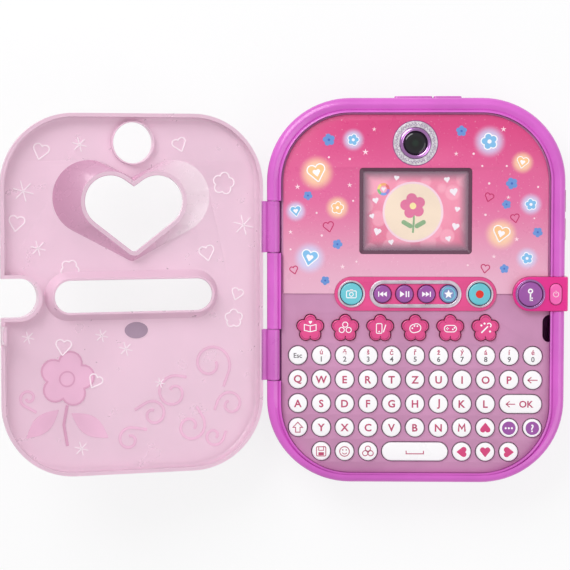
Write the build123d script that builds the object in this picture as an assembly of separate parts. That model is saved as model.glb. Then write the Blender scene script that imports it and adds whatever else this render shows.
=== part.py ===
from build123d import *
from math import acos, asin, atan2, cos, dist, hypot, pi, radians, sin, sqrt
import os

# Electronic secret diary: a book-sized toy computer lying on its back, its see-through cover folded
# open to the left. Millimetres. Origin: centre of the housing's back face. +X to the right of the
# keys, +Y towards the screen end, +Z out of the face. The cover is drawn shut and then turned open.

# ---- housing ----
body_depth = 34.0  # back face to the top of the rim
body_corner = 48.0
wall = 2.2
split_height = 16.0  # where the two shells meet
back_round = 7.0
rim_round_outer = 3.5
rim_round_inner = 1.5
rim_side = 8.3
rim_top = 8.4
rim_bottom = 5.4
recess_corner = 40.0
ledge_width = 1.0
ledge_thickness = 3.8
fit = 0.15  # sideways clearance of a fixed piece in its seat

# ---- face ----
face_drop = 3.5  # rim top down to the face
face_thickness = 2.0
plate_thickness = 0.8  # printed upper plate
plate_inset = 1.2
plate_rise = 0.15  # upper plate's lower edge above the middle of the strip
plate_corner = 5.0
board_drop = 4.3  # face underside down to the circuit boards
board_thickness = 1.6
mat_thickness = 1.8
sheet_gap = 0.5  # boards and mat clear of the ledge
board_gap = 1.5  # between the two boards
main_board_short = 12.0  # main board's end short of the recess

# ---- keys and buttons ----
key_radius = 5.3
key_sides = 10
key_hole_sides = 8
key_gap = 0.5
key_proud = 1.5
key_travel = 1.0
key_pitch_x = 13.55
key_pitch_y = 13.95
key_columns = 11
key_rows = 5
key_side_margin = 4.35  # last key to the side of the recess
key_near_margin = 7.1  # last row to the near end of the recess
press_room = 0.15  # left under a piece that is pressed right down
enter_length = 24.1
space_length = 38.0
wide_key_height = 10.6
petal_radius = 3.3  # five round petals make one flower-shaped button
petal_centre = 4.5
petal_bends = (-75, -25, 25, 75)  # where a petal's outline turns, in degrees
petal_count = 5
flower_count = 6
flower_pitch = 20.2
flower_first_x = -60.6
flower_gap = 2.7  # above the first row of keys
flower_proud = 1.7

# ---- button strip ----
strip_end = 9.7  # middle of an end button to the end of the strip
strip_height = 19.7
strip_gap = 2.3  # above the flowers
strip_thickness = 0.9
strip_margin = 1.25
end_ring_gap = 2.5  # from the oval ring
end_button_radius = 6.3
end_ring_radius = 7.9
ring_band = 1.2
ring_proud = 0.8
oval_end = 7.525  # middle of the last small button to the end of the oval ring
oval_height = 16.0
oval_band = 2.2
small_button_radius = 5.0
small_button_pitch = 12.65
small_button_count = 4
strip_button_proud = 1.6
button_gap = 0.3

# ---- screen and camera ----
window_width = 64.7
window_height = 49.6
window_gap = 13.1  # above the strip
window_corner = 2.0
bezel_band = 2.0  # dark wall seen inside the window
bezel_flange = 2.4
bezel_lip = 0.6
pane_lap = 1.0  # pane held behind the bezel
behind_gap = 0.1  # between the face and what is fixed behind it
screen_depth = 1.9  # plate top down to the clear pane
pane_thickness = 0.8
camera_x = -0.35
camera_gap = 1.5  # above the window
camera_far_margin = 4.8  # camera ring to the far end of the recess
camera_ring_radius = 12.7
camera_ring_band = 3.6
camera_bezel_radius = 8.9
camera_bezel_band = 2.0
camera_lens_radius = 6.5
camera_well_radius = 10.5
camera_ring_proud = 0.3
camera_bezel_proud = 1.4
camera_bezel_slope = 0.8
camera_lens_proud = 1.2
lens_crown_rise = 3.0
lens_crown_reach = 1.0
camera_module_width = 17.0

# ---- lock plate at the right edge ----
lock_rise = 0.25  # above the middle of the strip
lock_height = 19.8
lock_reach = 29.9  # in from the side wall
lock_proud = 0.8  # above the rim
lock_overhang = 1.6  # past the side wall
lock_skirt = 15.0
lock_round = 0.6
unlock_radius = 7.0
unlock_ring_band = 1.2
unlock_ring_proud = 0.7
unlock_proud = 1.0
unlock_travel = 1.2
power_inset = 5.4  # inside the side wall
power_width = 6.8
power_height = 12.1
power_proud = 0.9
latch_gap = 2.3  # below the lock plate
latch_slot_width = 4.2
latch_slot_length = 16.0
lock_room = 4.0  # boards and mat clear of the lock
bolt_width = 4.0
bolt_thickness = 2.0
bolt_length = 8.0
bolt_gap = 0.3
solenoid_length = 12.4
solenoid_width = 12.0
solenoid_round = 1.0
bolt_drop = 0.9
bolt_stand_off = 0.8  # bolt tip clear of the hook when drawn back

# ---- cover ----
cover_open_angle = 160.5
cover_side_gap = 1.5  # to the rim at left and right
cover_top_gap = 1.0
cover_bottom_gap = 3.0
cover_corner = 41.5
cover_height = 8.4
cover_wall = 2.0
cover_round = 5.5
cover_lip_gap = 0.3  # lip above the tops of the keys
funnel_gap = 0.3  # funnel tips above the lip
hole_radius = 11.6
hole_collar = 1.4
hole_collar_depth = 3.0
slot_length = 91.4
slot_height = 18.2
slot_rise = 0.45  # above the middle of the strip
slot_land = 1.4
slot_flare = 3.4
notch_gap = 1.1
heart_cleft_rise = 14.4  # above the middle of the window, as are the other heart rises
heart_lobe_x = 13.6
heart_lobe_rise = 5.95
heart_lobe_radius = 14.7
heart_tip_rise = -19.35
heart_tip_radius = 3.0
heart_land = 2.6
flare_cleft_rise = 19.5
flare_lobe_x = 24.6
flare_lobe_rise = 8.25
flare_lobe_radius = 21.0
flare_tip_rise = -23.9
flare_tip_radius = 4.0
cleft_spread = 1.3  # how far the cleft moves when a heart outline grows by 1
flare_wall = 1.2
hook_width = 10.0
hook_post = 2.0
hook_thickness = 1.6
hook_bar = 1.3
hook_window_gap = 0.5

# ---- hinge ----
hinge_inset = 3.9  # axis inside the side wall
hinge_drop = 3.2  # axis below the rim top
knuckle_radius = 3.6
knuckle_length = 29.6
knuckle_y = 37.0
knuckle_end_gap = 0.3
pocket_gap = 0.5
pin_radius = 1.25
pin_running_gap = 0.05
pin_seat_gap = 0.02
pin_anchor = 5.0

# ---- side pieces ----
volume_length = 13.4
volume_height = 5.6
volume_z = 20.6
volume_proud = 1.2
volume_depth = 2.0  # inside the wall
volume_round = 0.6
volume_drops = {"volume_up_button": 59.2, "volume_down_button": 75.6}  # from the far end
flap_height = 9.0
flap_bottom = 18.5
flap_gap = 0.3
flap_sink = 0.6
flap_spans = {"port_cover_wide": (-12.3, 9.4), "port_cover_narrow": (10.2, 26.2)}
socket_width = 9.0
socket_height = 3.6
socket_wall = 0.5
socket_depth = 8.0
socket_drop = 1.5  # below the middle of the flap
flap_proud = 1.1
flap_round = 0.5
foot_spans = ((-45.8, -38.0), (41.0, 48.8))
foot_bottom = 5.5
foot_top = 15.0
foot_proud = 2.5

# ---- inside and back ----
cell_radius = 7.25
cell_length = 50.5
cell_count = 4
cell_gap = 0.3
contact_thickness = 0.5
contact_reach = 1.6  # half a contact's width, in cell radii
bay_margin = 51.0  # near end to the middle of the battery bay
bay_wall = 1.5
door_margin = 4.0
door_corner = 4.0
door_gap = 0.25
door_sink = 0.4
door_thickness = 1.6
screw_radius = 2.75
screw_length = 12.0
screw_sink = 1.0
tower_size = 7.4
screw_side = 19.5  # from the side wall
screw_far = 19.8  # from the far end
screw_near = 18.0  # from the near end
post_size = 6.0
main_posts = ((-58.0, 89.0), (58.0, 89.0), (-40.0, 33.0), (40.0, 33.0))  # x, and distance from the far end
key_posts = ((-60.0, 107.0), (50.0, 107.0), (-58.0, 61.0), (58.0, 61.0),  # x, and distance from the near end
             (-36.0, 16.0), (36.0, 16.0))
speaker_radius = 18.0
speaker_x = -32.0
speaker_drop = 59.0  # from the far end
speaker_height = 7.0
magnet_radius = 9.0
grille_count = 7
grille_pitch = 4.0
grille_slot = 1.6
grille_radius = 15.0
speaker_rim = 1.5

# ---- drawing ----
corner_turns = 11  # flats in each big quarter round
end_turns = 5  # flats in each quarter of a long hole or button
small_turns = 2
round_sides = 20  # round pieces are drawn as many-sided prisms
small_sides = 16
screw_sides = 10
seat_sides = 8
lobe_turns = 8
tip_turns = 2
bite = 0.01  # how far pieces of one solid reach into each other
round_steps = ((0.414, 1.0), (0.586, 0.317))  # two flats that follow a quarter round, per unit radius

# ---- levels and places worked out from the above ----
flower_reach = petal_centre + petal_radius
key_block = (key_rows - 1) * key_pitch_y
recess_width = (key_columns - 1) * key_pitch_x + 2 * (key_radius + key_side_margin)
key_field = key_near_margin + 2 * key_radius + key_block + flower_gap + 2 * flower_reach + strip_gap
screen_field = window_gap + window_height + camera_gap + 2 * camera_ring_radius + camera_far_margin
recess_length = key_field + strip_height + screen_field
oval_length = (small_button_count - 1) * small_button_pitch + 2 * oval_end
end_button_x = oval_length / 2 + end_ring_gap + end_ring_radius
strip_length = 2 * (end_button_x + strip_end)
body_width = recess_width + 2 * rim_side
body_length = recess_length + rim_top + rim_bottom
side_x = body_width / 2
end_y = body_length / 2
key_last_row = -end_y + rim_bottom + key_near_margin + key_radius
key_first_row = key_last_row + key_block
flower_y = key_first_row + key_radius + flower_gap + flower_reach
strip_y = flower_y + flower_reach + strip_gap + strip_height / 2
window_y = strip_y + (strip_height + window_height) / 2 + window_gap
camera_y = window_y + window_height / 2 + camera_gap + camera_ring_radius
plate_bottom = strip_y + plate_rise
slot_y = strip_y + slot_rise
lock_y = strip_y + lock_rise
lock_radius = lock_height / 2
lock_left = side_x - lock_reach
unlock_x = lock_left + lock_radius
power_x = side_x - power_inset
latch_y = lock_y - lock_radius - latch_gap - latch_slot_length / 2
bay_y = -end_y + bay_margin
speaker_y = end_y - speaker_drop
volume_ys = {name: end_y - drop for name, drop in volume_drops.items()}
screw_x = side_x - screw_side
screw_ys = (end_y - screw_far, -end_y + screw_near)
screw_places = [(side * screw_x, y) for y in screw_ys for side in (-1, 1)]
post_places = [(x, end_y - drop) for x, drop in main_posts] + [(x, rise - end_y) for x, rise in key_posts]
rim_z = body_depth
face_z = rim_z - face_drop
face_under = face_z - face_thickness
plate_z = face_z + plate_thickness
ledge_under = face_under - ledge_thickness
board_top = face_under - board_drop
board_under = board_top - board_thickness
mat_top = board_top + mat_thickness
key_under = mat_top + key_travel + press_room
key_top = face_z + key_proud
recess_y = (rim_bottom - rim_top) / 2
recess_x = recess_width / 2
strip_top = face_z + strip_thickness
window_base_z = plate_z - screen_depth
lock_top = rim_z + lock_proud
hinge_x = -side_x + hinge_inset
hinge_z = rim_z - hinge_drop
cover_lip = key_top + cover_lip_gap
cover_top = cover_lip + cover_height
cover_floor = cover_top - cover_wall
funnel_tip = cover_lip + funnel_gap
cover_width = recess_width - 2 * cover_side_gap
cover_length = recess_length - cover_top_gap - cover_bottom_gap
cover_y = recess_y + (cover_bottom_gap - cover_top_gap) / 2
latch_slot_x = recess_x - latch_slot_width
hook_x = cover_width / 2 - hook_thickness
bolt_top = face_under - bolt_drop
hook_window_low = bolt_top - bolt_thickness - hook_window_gap
hook_window_high = bolt_top + hook_window_gap
cell_z = door_sink + door_thickness + cell_gap + cell_radius
bay_top = cell_z + cell_radius + cell_gap
bay_length = cell_length + 2 * (contact_thickness + 2 * cell_gap)
bay_width = cell_count * (2 * cell_radius + cell_gap) + cell_gap


def prism(face, low, high):
    return Pos(0, 0, low) * extrude(face, high - low)


def rounded(width, length, corner, turns):
    """Rounded rectangle whose corners turn in equal flats."""
    points = []
    for quarter, (side, end) in enumerate(((1, 1), (-1, 1), (-1, -1), (1, -1))):
        for i in range(turns + 1):
            angle = pi / 2 * (quarter + i / turns)
            point = (side * (width / 2 - corner) + corner * cos(angle),
                     end * (length / 2 - corner) + corner * sin(angle))
            if not points or dist(point, points[-1]) > bite:
                points.append(point)
    if dist(points[0], points[-1]) < bite:
        points.pop()
    return make_face(Polyline(*points, close=True))


def long_round(length, height, turns=end_turns):
    return rounded(length, height, min(length, height) / 2, turns)


def plate(width, length, corner, low, high, y=0.0, turns=corner_turns):
    return prism(Pos(0, y, 0) * rounded(width, length, corner, turns), low, high)


def slab(left, right, near, far, low, high):
    middle = Pos((left + right) / 2, (near + far) / 2, (low + high) / 2)
    return middle * Box(right - left, far - near, high - low)


def disc(x, y, radius, low, high, sides=round_sides):
    return prism(Pos(x, y, 0) * RegularPolygon(radius, sides, rotation=180 / sides), low, high)


def stadium(x, y, length, height, low, high):
    return prism(Pos(x, y, 0) * long_round(length, height), low, high)


def top_edges(solid):
    return solid.edges().group_by(Axis.Z)[-1]


def softened(solid, end, radius):
    """Round the rim of a prism's top (end = -1) or bottom (end = 0)."""
    for on_end, on_side in round_steps:
        flat = solid.faces().sort_by(Axis.Z)[end]
        solid = chamfer(flat.edges(), radius * on_end, radius * on_side, reference=flat)
    return solid


# ---------------------------------------------------------------- housing


def recess_outline(shrink, low, high):
    width, length = recess_width - 2 * shrink, recess_length - 2 * shrink
    return plate(width, length, recess_corner - shrink, low, high, recess_y)


def shell_outline(shrink, low, high):
    return plate(body_width - 2 * shrink, body_length - 2 * shrink, body_corner - shrink, low, high)


def hinge_centres():
    return (knuckle_y, -knuckle_y)


def hinge_pocket(y):
    half = knuckle_length / 2 + knuckle_end_gap
    floor_z = hinge_z - knuckle_radius - pocket_gap
    return slab(-side_x - 1, -recess_x, y - half, y + half, floor_z, rim_z + 1)


def along_y(x, z, face, near, far):
    return Pos(x, far, z) * Rot(90, 0, 0) * extrude(face, far - near)


def pin_line(y, face):
    half = knuckle_length / 2 + knuckle_end_gap + pin_anchor
    return along_y(hinge_x, hinge_z, face, y - half, y + half)


def pin_seat():
    return RegularPolygon(pin_radius + pin_seat_gap, seat_sides, major_radius=False)


def latch_slot():
    ends = stadium(recess_x, latch_y, 2 * latch_slot_width, latch_slot_length, ledge_under - 1, face_z + 1)
    return ends & slab(latch_slot_x, recess_x, latch_y - end_y, latch_y + end_y, ledge_under - 1, face_z + 1)


def lock_shape(grow, low, high):
    left = lock_left - grow
    right = side_x + lock_overhang
    radius = lock_radius + grow
    bar = slab(left + radius, right, lock_y - radius, lock_y + radius, low, high)
    return bar + disc(left + radius, lock_y, radius, low, high)


def volume_block(y, grow, inner, outer):
    half = volume_length / 2 + grow
    rise = volume_height / 2 + grow
    return slab(inner, outer, y - half, y + half, volume_z - rise, volume_z + rise)


def flap_pocket(span):
    left, right = span
    return slab(left - flap_gap, right + flap_gap, end_y - flap_sink - flap_gap, end_y + 1,
                flap_bottom - flap_gap, flap_bottom + flap_height + flap_gap)


def socket_block(span, grow):
    middle = sum(span) / 2
    half = socket_width / 2 + grow
    rise = socket_height / 2 + grow
    z = flap_bottom + flap_height / 2 - socket_drop
    mouth_y = end_y - flap_sink - flap_gap
    return slab(middle - half, middle + half, mouth_y - socket_depth, mouth_y, z - rise, z + rise)


def towers(grow, low, high):
    half = tower_size / 2 + grow
    return [slab(x - half, x + half, y - half, y + half, low, high) for x, y in screw_places]


def front_frame():
    frame = shell_outline(0, split_height, rim_z)
    frame = softened(frame, -1, rim_round_outer)
    frame -= shell_outline(wall, split_height, ledge_under)
    frame -= recess_outline(ledge_width, ledge_under, face_under)
    frame -= recess_outline(0, face_under, rim_z + 1)
    mouth = frame.faces().sort_by(Axis.Z)[-1].inner_wires()[0]
    frame = chamfer(mouth.edges(), rim_round_inner)
    for y in hinge_centres():
        frame -= hinge_pocket(y) + pin_line(y, pin_seat())
    frame -= latch_slot()
    right_rim = slab(recess_x - 1, side_x + 1, -end_y, end_y, face_z, rim_z + 1)
    frame -= lock_shape(fit, face_z, rim_z + 1) & right_rim
    for y in volume_ys.values():
        frame -= volume_block(y, button_gap, side_x - wall - 1, side_x + 1)
    for span in flap_spans.values():
        frame -= flap_pocket(span) + socket_block(span, fit)
    inside = shell_outline(wall, 0, rim_z)
    frame += [tower & inside for tower in towers(0, wall + screw_length / 2, ledge_under + bite)]
    for x, y in screw_places:
        frame -= disc(x, y, screw_radius + fit, 0, screw_sink + screw_length, screw_sides)
    return frame


def bay_block(grow, low, high):
    half_x = bay_length / 2 + grow
    half_y = bay_width / 2 + grow
    return slab(-half_x, half_x, bay_y - half_y, bay_y + half_y, low, high)


def door_outline(grow, low, high):
    width = bay_length + 2 * (door_margin + grow)
    length = bay_width + 2 * (door_margin + grow)
    return plate(width, length, door_corner + grow, low, high, bay_y, small_turns)


def rear_cover():
    shell = shell_outline(0, 0, split_height)
    shell = softened(shell, 0, back_round)
    hollow = shell_outline(wall, wall, split_height)
    shell -= chamfer(hollow.edges().group_by(Axis.Z)[0], back_round - wall)
    shell += bay_block(bay_wall, wall, bay_top + bay_wall)
    rim = door_margin + bay_wall
    shell += bay_block(rim, wall, 2 * wall)
    shell -= bay_block(0, 0, bay_top)
    shell -= door_outline(door_gap, 0, door_sink + door_thickness)
    for x, y in post_places:
        half = post_size / 2
        shell += slab(x - half, x + half, y - half, y + half, wall, board_under)
    for x, y in screw_places:
        shell -= disc(x, y, screw_radius + fit, 0, wall + back_round, screw_sides)
    for i in range(grille_count):
        offset = (i - (grille_count - 1) / 2) * grille_pitch
        half = sqrt(grille_radius**2 - offset**2)
        shell -= slab(speaker_x - half, speaker_x + half, speaker_y + offset - grille_slot / 2,
                      speaker_y + offset + grille_slot / 2, 0, wall)
    return shell


def stand_feet():
    ring = shell_outline(-foot_proud, foot_bottom, foot_top) - shell_outline(-fit, foot_bottom, foot_top)
    feet = []
    for left, right in foot_spans:
        foot = ring & slab(left, right, -body_length, -end_y / 2, foot_bottom, foot_top)
        feet.append(foot.solids()[0])
    return Compound(children=feet)


def housing_screws():
    screws = []
    for x, y in screw_places:
        screw = disc(x, y, screw_radius, screw_sink, screw_sink + screw_length, screw_sides)
        screws.append(screw.solids()[0])
    return Compound(children=screws)


def battery_door():
    return door_outline(0, door_sink, door_sink + door_thickness)


def battery_cells():
    cells = []
    for i in range(cell_count):
        y = bay_y + (i - (cell_count - 1) / 2) * (2 * cell_radius + cell_gap)
        cell = extrude(RegularPolygon(cell_radius, round_sides), cell_length)
        cells.append((Pos(-cell_length / 2, y, cell_z) * Rot(0, 90, 0) * cell).solids()[0])
    return Compound(children=cells)


def battery_contacts():
    strips = []
    for side in (-1, 1):
        inner = side * (cell_length / 2 + cell_gap)
        outer = inner + side * contact_thickness
        for pair in (-1, 1):
            middle = bay_y + pair * (2 * cell_radius + cell_gap)
            half = contact_reach * cell_radius
            strip = slab(min(inner, outer), max(inner, outer), middle - half, middle + half,
                         cell_z - cell_radius / 2, cell_z + cell_radius / 2)
            strips.append(strip.solids()[0])
    return Compound(children=strips)


def speaker():
    rim = disc(speaker_x, speaker_y, speaker_radius, wall, wall + speaker_rim)
    magnet = disc(speaker_x, speaker_y, magnet_radius, wall + speaker_rim, wall + speaker_height)
    return rim + magnet


# ---------------------------------------------------------------- face, boards and keys


def key_centre(column, row):
    middle = (key_columns - 1) / 2
    return ((column - middle) * key_pitch_x, key_first_row - row * key_pitch_y)


def row_keys(row, first, last):
    return [key_centre(column, row) for column in range(first, last + 1)]


key_groups = {
    "escape_key": row_keys(0, 0, 0),
    "number_keys": row_keys(0, 1, 10),
    "top_letter_keys": row_keys(1, 0, 9),
    "backspace_key": row_keys(1, 10, 10),
    "middle_letter_keys": row_keys(2, 0, 8),
    "shift_key": row_keys(3, 0, 0),
    "bottom_letter_keys": row_keys(3, 1, 7),
    "symbol_keys": row_keys(3, 8, 10),
    "mode_keys": row_keys(4, 1, 3),
    "arrow_keys": row_keys(4, 7, 9),
}
enter_x = (key_centre(9, 2)[0] + key_centre(10, 2)[0] + key_radius * 2 - wide_key_height) / 2
wide_keys = {
    "enter_key": (enter_x, key_centre(0, 2)[1], enter_length),
    "space_key": ((key_centre(4, 4)[0] + key_centre(6, 4)[0]) / 2, key_centre(0, 4)[1], space_length),
}


def key_outline():
    return RegularPolygon(key_radius, key_sides, rotation=180 / key_sides)


def key_hole_outline():
    turn = 180 / key_hole_sides
    return RegularPolygon(key_radius + key_gap, key_hole_sides, major_radius=False, rotation=turn)


def wide_key_outline(length, grow):
    return long_round(length + 2 * grow, wide_key_height + 2 * grow, small_turns)


def flower_outline(grow):
    points = []
    for petal in range(petal_count):
        heading = pi / 2 + 2 * pi * petal / petal_count
        for bend in petal_bends:
            angle = heading + radians(bend)
            points.append((petal_centre * cos(heading) + (petal_radius + grow) * cos(angle),
                           petal_centre * sin(heading) + (petal_radius + grow) * sin(angle)))
    return make_face(Polyline(*points, close=True))


def flower_centres():
    return [(flower_first_x + i * flower_pitch, flower_y) for i in range(flower_count)]


def small_button_centres():
    middle = (small_button_count - 1) / 2
    return [((i - middle) * small_button_pitch, strip_y) for i in range(small_button_count)]


def keyboard_face():
    face = recess_outline(fit, face_under, face_z)
    holes = Sketch()
    for centres in key_groups.values():
        for x, y in centres:
            holes += Pos(x, y) * key_hole_outline()
    for x, y, length in wide_keys.values():
        holes += Pos(x, y) * wide_key_outline(length, key_gap)
    for x, y in flower_centres():
        holes += Pos(x, y) * flower_outline(key_gap)
    holes += Pos(0, strip_y) * long_round(strip_length - 2 * strip_margin, strip_height - 2 * strip_margin)
    holes += Pos(0, window_y) * Rectangle(window_width + 2 * bezel_flange + 2 * fit,
                                          window_height + 2 * bezel_flange + 2 * fit)
    holes += Pos(camera_x, camera_y) * RegularPolygon(camera_well_radius, round_sides)
    face -= prism(holes, face_under - 1, face_z + 1)
    return face - latch_slot()


def upper_face_plate():
    top = recess_outline(plate_inset, face_z, plate_z)
    far = recess_y + recess_length / 2 + 1
    half = recess_x - plate_inset
    middle = (plate_bottom + far) / 2
    lower = plate(2 * half, far - plate_bottom, plate_corner, face_z, plate_z, middle, small_turns)
    top = top & lower
    top -= plate(window_width, window_height, window_corner, face_z, plate_z, window_y, small_turns)
    top -= disc(camera_x, camera_y, camera_ring_radius + fit, face_z, plate_z)
    top -= stadium(0, strip_y, strip_length + 2 * fit, strip_height + 2 * fit, face_z, plate_z)
    return top - lock_shape(fit, face_z, plate_z)


def strip_tray():
    tray = stadium(0, strip_y, strip_length, strip_height, face_z, strip_top)
    for x in (-end_button_x, end_button_x):
        tray -= disc(x, strip_y, end_button_radius + button_gap, face_z, strip_top)
    for x, y in small_button_centres():
        tray -= disc(x, y, small_button_radius + button_gap, face_z, strip_top, small_sides)
    return tray


def strip_rings():
    high = strip_top + ring_proud
    rings = []
    for x in (-end_button_x, end_button_x):
        ring = disc(x, strip_y, end_ring_radius, strip_top, high)
        ring -= disc(x, strip_y, end_ring_radius - ring_band, strip_top, high)
        rings.append(ring.solids()[0])
    oval = stadium(0, strip_y, oval_length, oval_height, strip_top, high)
    oval -= stadium(0, strip_y, oval_length - 2 * oval_band, oval_height - 2 * oval_band, strip_top, high)
    return Compound(children=rings + [oval.solids()[0]])


def strip_button(x, radius, sides=round_sides):
    return disc(x, strip_y, radius, key_under, strip_top + strip_button_proud, sides)


def key_group(centres):
    keys = [prism(Pos(x, y) * key_outline(), key_under, key_top) for x, y in centres]
    return Compound(children=[k.solids()[0] for k in keys])


def wide_key(x, y, length):
    return prism(Pos(x, y) * wide_key_outline(length, 0), key_under, key_top)


def flower_button(x, y):
    return prism(Pos(x, y) * flower_outline(0), key_under, face_z + flower_proud)


def latch_room(low, high):
    """The corner of the mat and boards that is cut away for the lock."""
    near = latch_y - latch_slot_length / 2 - sheet_gap
    return slab(lock_left - lock_room, side_x, near, strip_y + end_y, low, high)


def inner_sheet(near, far, low, high):
    """A flat sheet inside the ledge, between two y values."""
    sheet = recess_outline(ledge_width + sheet_gap, low, high)
    return (sheet & slab(-side_x, side_x, near, far, low, high)) - towers(sheet_gap, low - 1, high + 1)


def key_board():
    board = inner_sheet(-end_y, strip_y + strip_height / 2, board_under, board_top)
    return board - latch_room(board_under, board_top)


def keypad_mat():
    mat = inner_sheet(-end_y, strip_y + strip_height / 2, board_top, mat_top)
    return mat - latch_room(board_top, mat_top)


def main_board():
    near = strip_y + strip_height / 2 + board_gap
    return inner_sheet(near, end_y - rim_top - main_board_short, board_under, board_top)


# ---------------------------------------------------------------- screen and camera


def screen_bezel():
    outer_x = window_width / 2 + bezel_flange
    outer_y = window_height / 2 + bezel_flange
    bezel = slab(-outer_x, outer_x, window_y - outer_y, window_y + outer_y, face_under, face_z)
    inner_x = window_width - 2 * bezel_band
    inner_y = window_height - 2 * bezel_band
    mouth_x = window_width - bezel_lip
    mouth_y = window_height - bezel_lip
    throat = loft([Pos(0, window_y, window_base_z) * Rectangle(inner_x, inner_y),
                   Pos(0, window_y, face_z) * Rectangle(mouth_x, mouth_y)], ruled=True)
    reach_x = inner_x / 2 + pane_lap
    reach_y = inner_y / 2 + pane_lap
    pane_room = slab(-reach_x, reach_x, window_y - reach_y, window_y + reach_y, face_under, window_base_z)
    return bezel - throat - pane_room


def screen_lens():
    half_x = window_width / 2 - bezel_band + pane_lap - fit
    half_y = window_height / 2 - bezel_band + pane_lap - fit
    pane_under = window_base_z - pane_thickness
    return slab(-half_x, half_x, window_y - half_y, window_y + half_y, pane_under, window_base_z)


def display_panel():
    half_x = window_width / 2 + bezel_flange
    half_y = window_height / 2 + bezel_flange
    return slab(-half_x, half_x, window_y - half_y, window_y + half_y, board_top, face_under - behind_gap)


def camera_ring():
    high = plate_z + camera_ring_proud
    ring = disc(camera_x, camera_y, camera_ring_radius, face_z, high)
    return ring - disc(camera_x, camera_y, camera_ring_radius - camera_ring_band, face_z, high)


def camera_bezel():
    high = plate_z + camera_bezel_proud
    bezel = disc(camera_x, camera_y, camera_bezel_radius, face_under, high)
    bezel = chamfer(top_edges(bezel), camera_bezel_slope)
    return bezel - disc(camera_x, camera_y, camera_bezel_radius - camera_bezel_band, face_under, high)


def camera_lens():
    lens = disc(camera_x, camera_y, camera_lens_radius, face_under, face_z + camera_lens_proud)
    crown = lens.faces().sort_by(Axis.Z)[-1]
    return chamfer(crown.edges(), lens_crown_rise, lens_crown_reach, reference=crown)


def camera_module():
    half = camera_module_width / 2
    return slab(camera_x - half, camera_x + half, camera_y - half, camera_y + half,
                board_top, face_under - behind_gap)


# ---------------------------------------------------------------- lock


def lock_plate():
    top = lock_shape(0, face_z, lock_top)
    skirt = slab(side_x + fit, side_x + lock_overhang, lock_y - lock_radius, lock_y + lock_radius,
                 lock_top - lock_skirt, lock_top)
    block = chamfer(top_edges(top), lock_round) + (skirt & slab(0, 2 * side_x, -end_y, end_y, 0, face_z))
    block -= disc(unlock_x, lock_y, unlock_radius + button_gap, face_z, lock_top)
    return block - power_outline(button_gap, face_z, lock_top)


def power_outline(grow, low, high):
    return stadium(power_x, lock_y, power_width + 2 * grow, power_height + 2 * grow, low, high)


def power_button():
    return power_outline(0, face_z + key_travel + press_room, lock_top + power_proud)


def unlock_ring():
    high = lock_top + unlock_ring_proud
    ring = disc(unlock_x, lock_y, unlock_radius + button_gap + unlock_ring_band, lock_top, high)
    return ring - disc(unlock_x, lock_y, unlock_radius + button_gap, lock_top, high)


def unlock_button():
    under = face_z + unlock_travel + press_room
    return disc(unlock_x, lock_y, unlock_radius, under, lock_top + unlock_proud)


def bolt_tip():
    return hook_x - bolt_stand_off


def latch_bolt():
    return slab(bolt_tip() - bolt_length, bolt_tip(), latch_y - bolt_width / 2, latch_y + bolt_width / 2,
                bolt_top - bolt_thickness, bolt_top)


def latch_solenoid():
    right = bolt_tip() - bolt_length - bolt_gap
    half = solenoid_width / 2
    left = right - solenoid_length
    block = slab(left, right, latch_y - half, latch_y + half, board_under, face_under - behind_gap)
    return chamfer(block.edges().filter_by(Axis.Y), solenoid_round)


# ---------------------------------------------------------------- cover, drawn shut


def tangent_point(x, y, circle_x, circle_y, radius, turn):
    """Where the line from (x, y) touches a circle, on the side given by turn."""
    reach = hypot(circle_x - x, circle_y - y)
    heading = atan2(circle_y - y, circle_x - x) + turn * asin(radius / reach)
    length = sqrt(reach**2 - radius**2)
    return x + length * cos(heading), y + length * sin(heading)


def heart(cleft_y, lobe_x, lobe_y, lobe_radius, tip_y, tip_radius, z):
    """Heart outline: two round lobes, with straight runs to a cleft and to a rounded tip."""
    start = tangent_point(0, cleft_y, lobe_x, lobe_y, lobe_radius, 1)
    first = atan2(start[1] - lobe_y, start[0] - lobe_x)
    gap = hypot(lobe_x, tip_y - lobe_y)
    last = atan2(tip_y - lobe_y, -lobe_x) + acos((lobe_radius - tip_radius) / gap)
    right = []
    for i in range(lobe_turns + 1):
        angle = first + (last - first) * i / lobe_turns
        right.append((lobe_x + lobe_radius * cos(angle), lobe_y + lobe_radius * sin(angle)))
    for i in range(tip_turns):
        angle = last + (-pi / 2 - last) * i / tip_turns
        right.append((tip_radius * cos(angle), tip_y + tip_radius * sin(angle)))
    left = [(-x, y) for x, y in reversed(right)]
    outline = [(0, cleft_y)] + right + [(0, tip_y - tip_radius)] + left
    return Pos(0, 0, z) * make_face(Polyline(*outline, close=True))


def hole_heart(grow, z):
    return heart(window_y + heart_cleft_rise + cleft_spread * grow, heart_lobe_x, window_y + heart_lobe_rise,
                 heart_lobe_radius + grow, window_y + heart_tip_rise, heart_tip_radius + grow, z)


def flare_heart(grow, z):
    return heart(window_y + flare_cleft_rise + cleft_spread * grow, flare_lobe_x, window_y + flare_lobe_rise,
                 flare_lobe_radius + grow, window_y + flare_tip_rise, flare_tip_radius + grow, z)


def slot_face(grow, z):
    return Pos(0, slot_y, z) * long_round(slot_length + 2 * grow, slot_height + 2 * grow)


def notch_outline(grow, low, high):
    return lock_shape(notch_gap + grow, low, high)


def cover_block():
    block = plate(cover_width, cover_length, cover_corner, cover_lip, cover_top, cover_y)
    return softened(block, -1, cover_round)


def cover_tray():
    hollow = plate(cover_width - 2 * cover_wall, cover_length - 2 * cover_wall, cover_corner - cover_wall,
                   cover_lip, cover_floor, cover_y)
    return cover_block() - chamfer(top_edges(hollow), cover_round - cover_wall)


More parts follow.
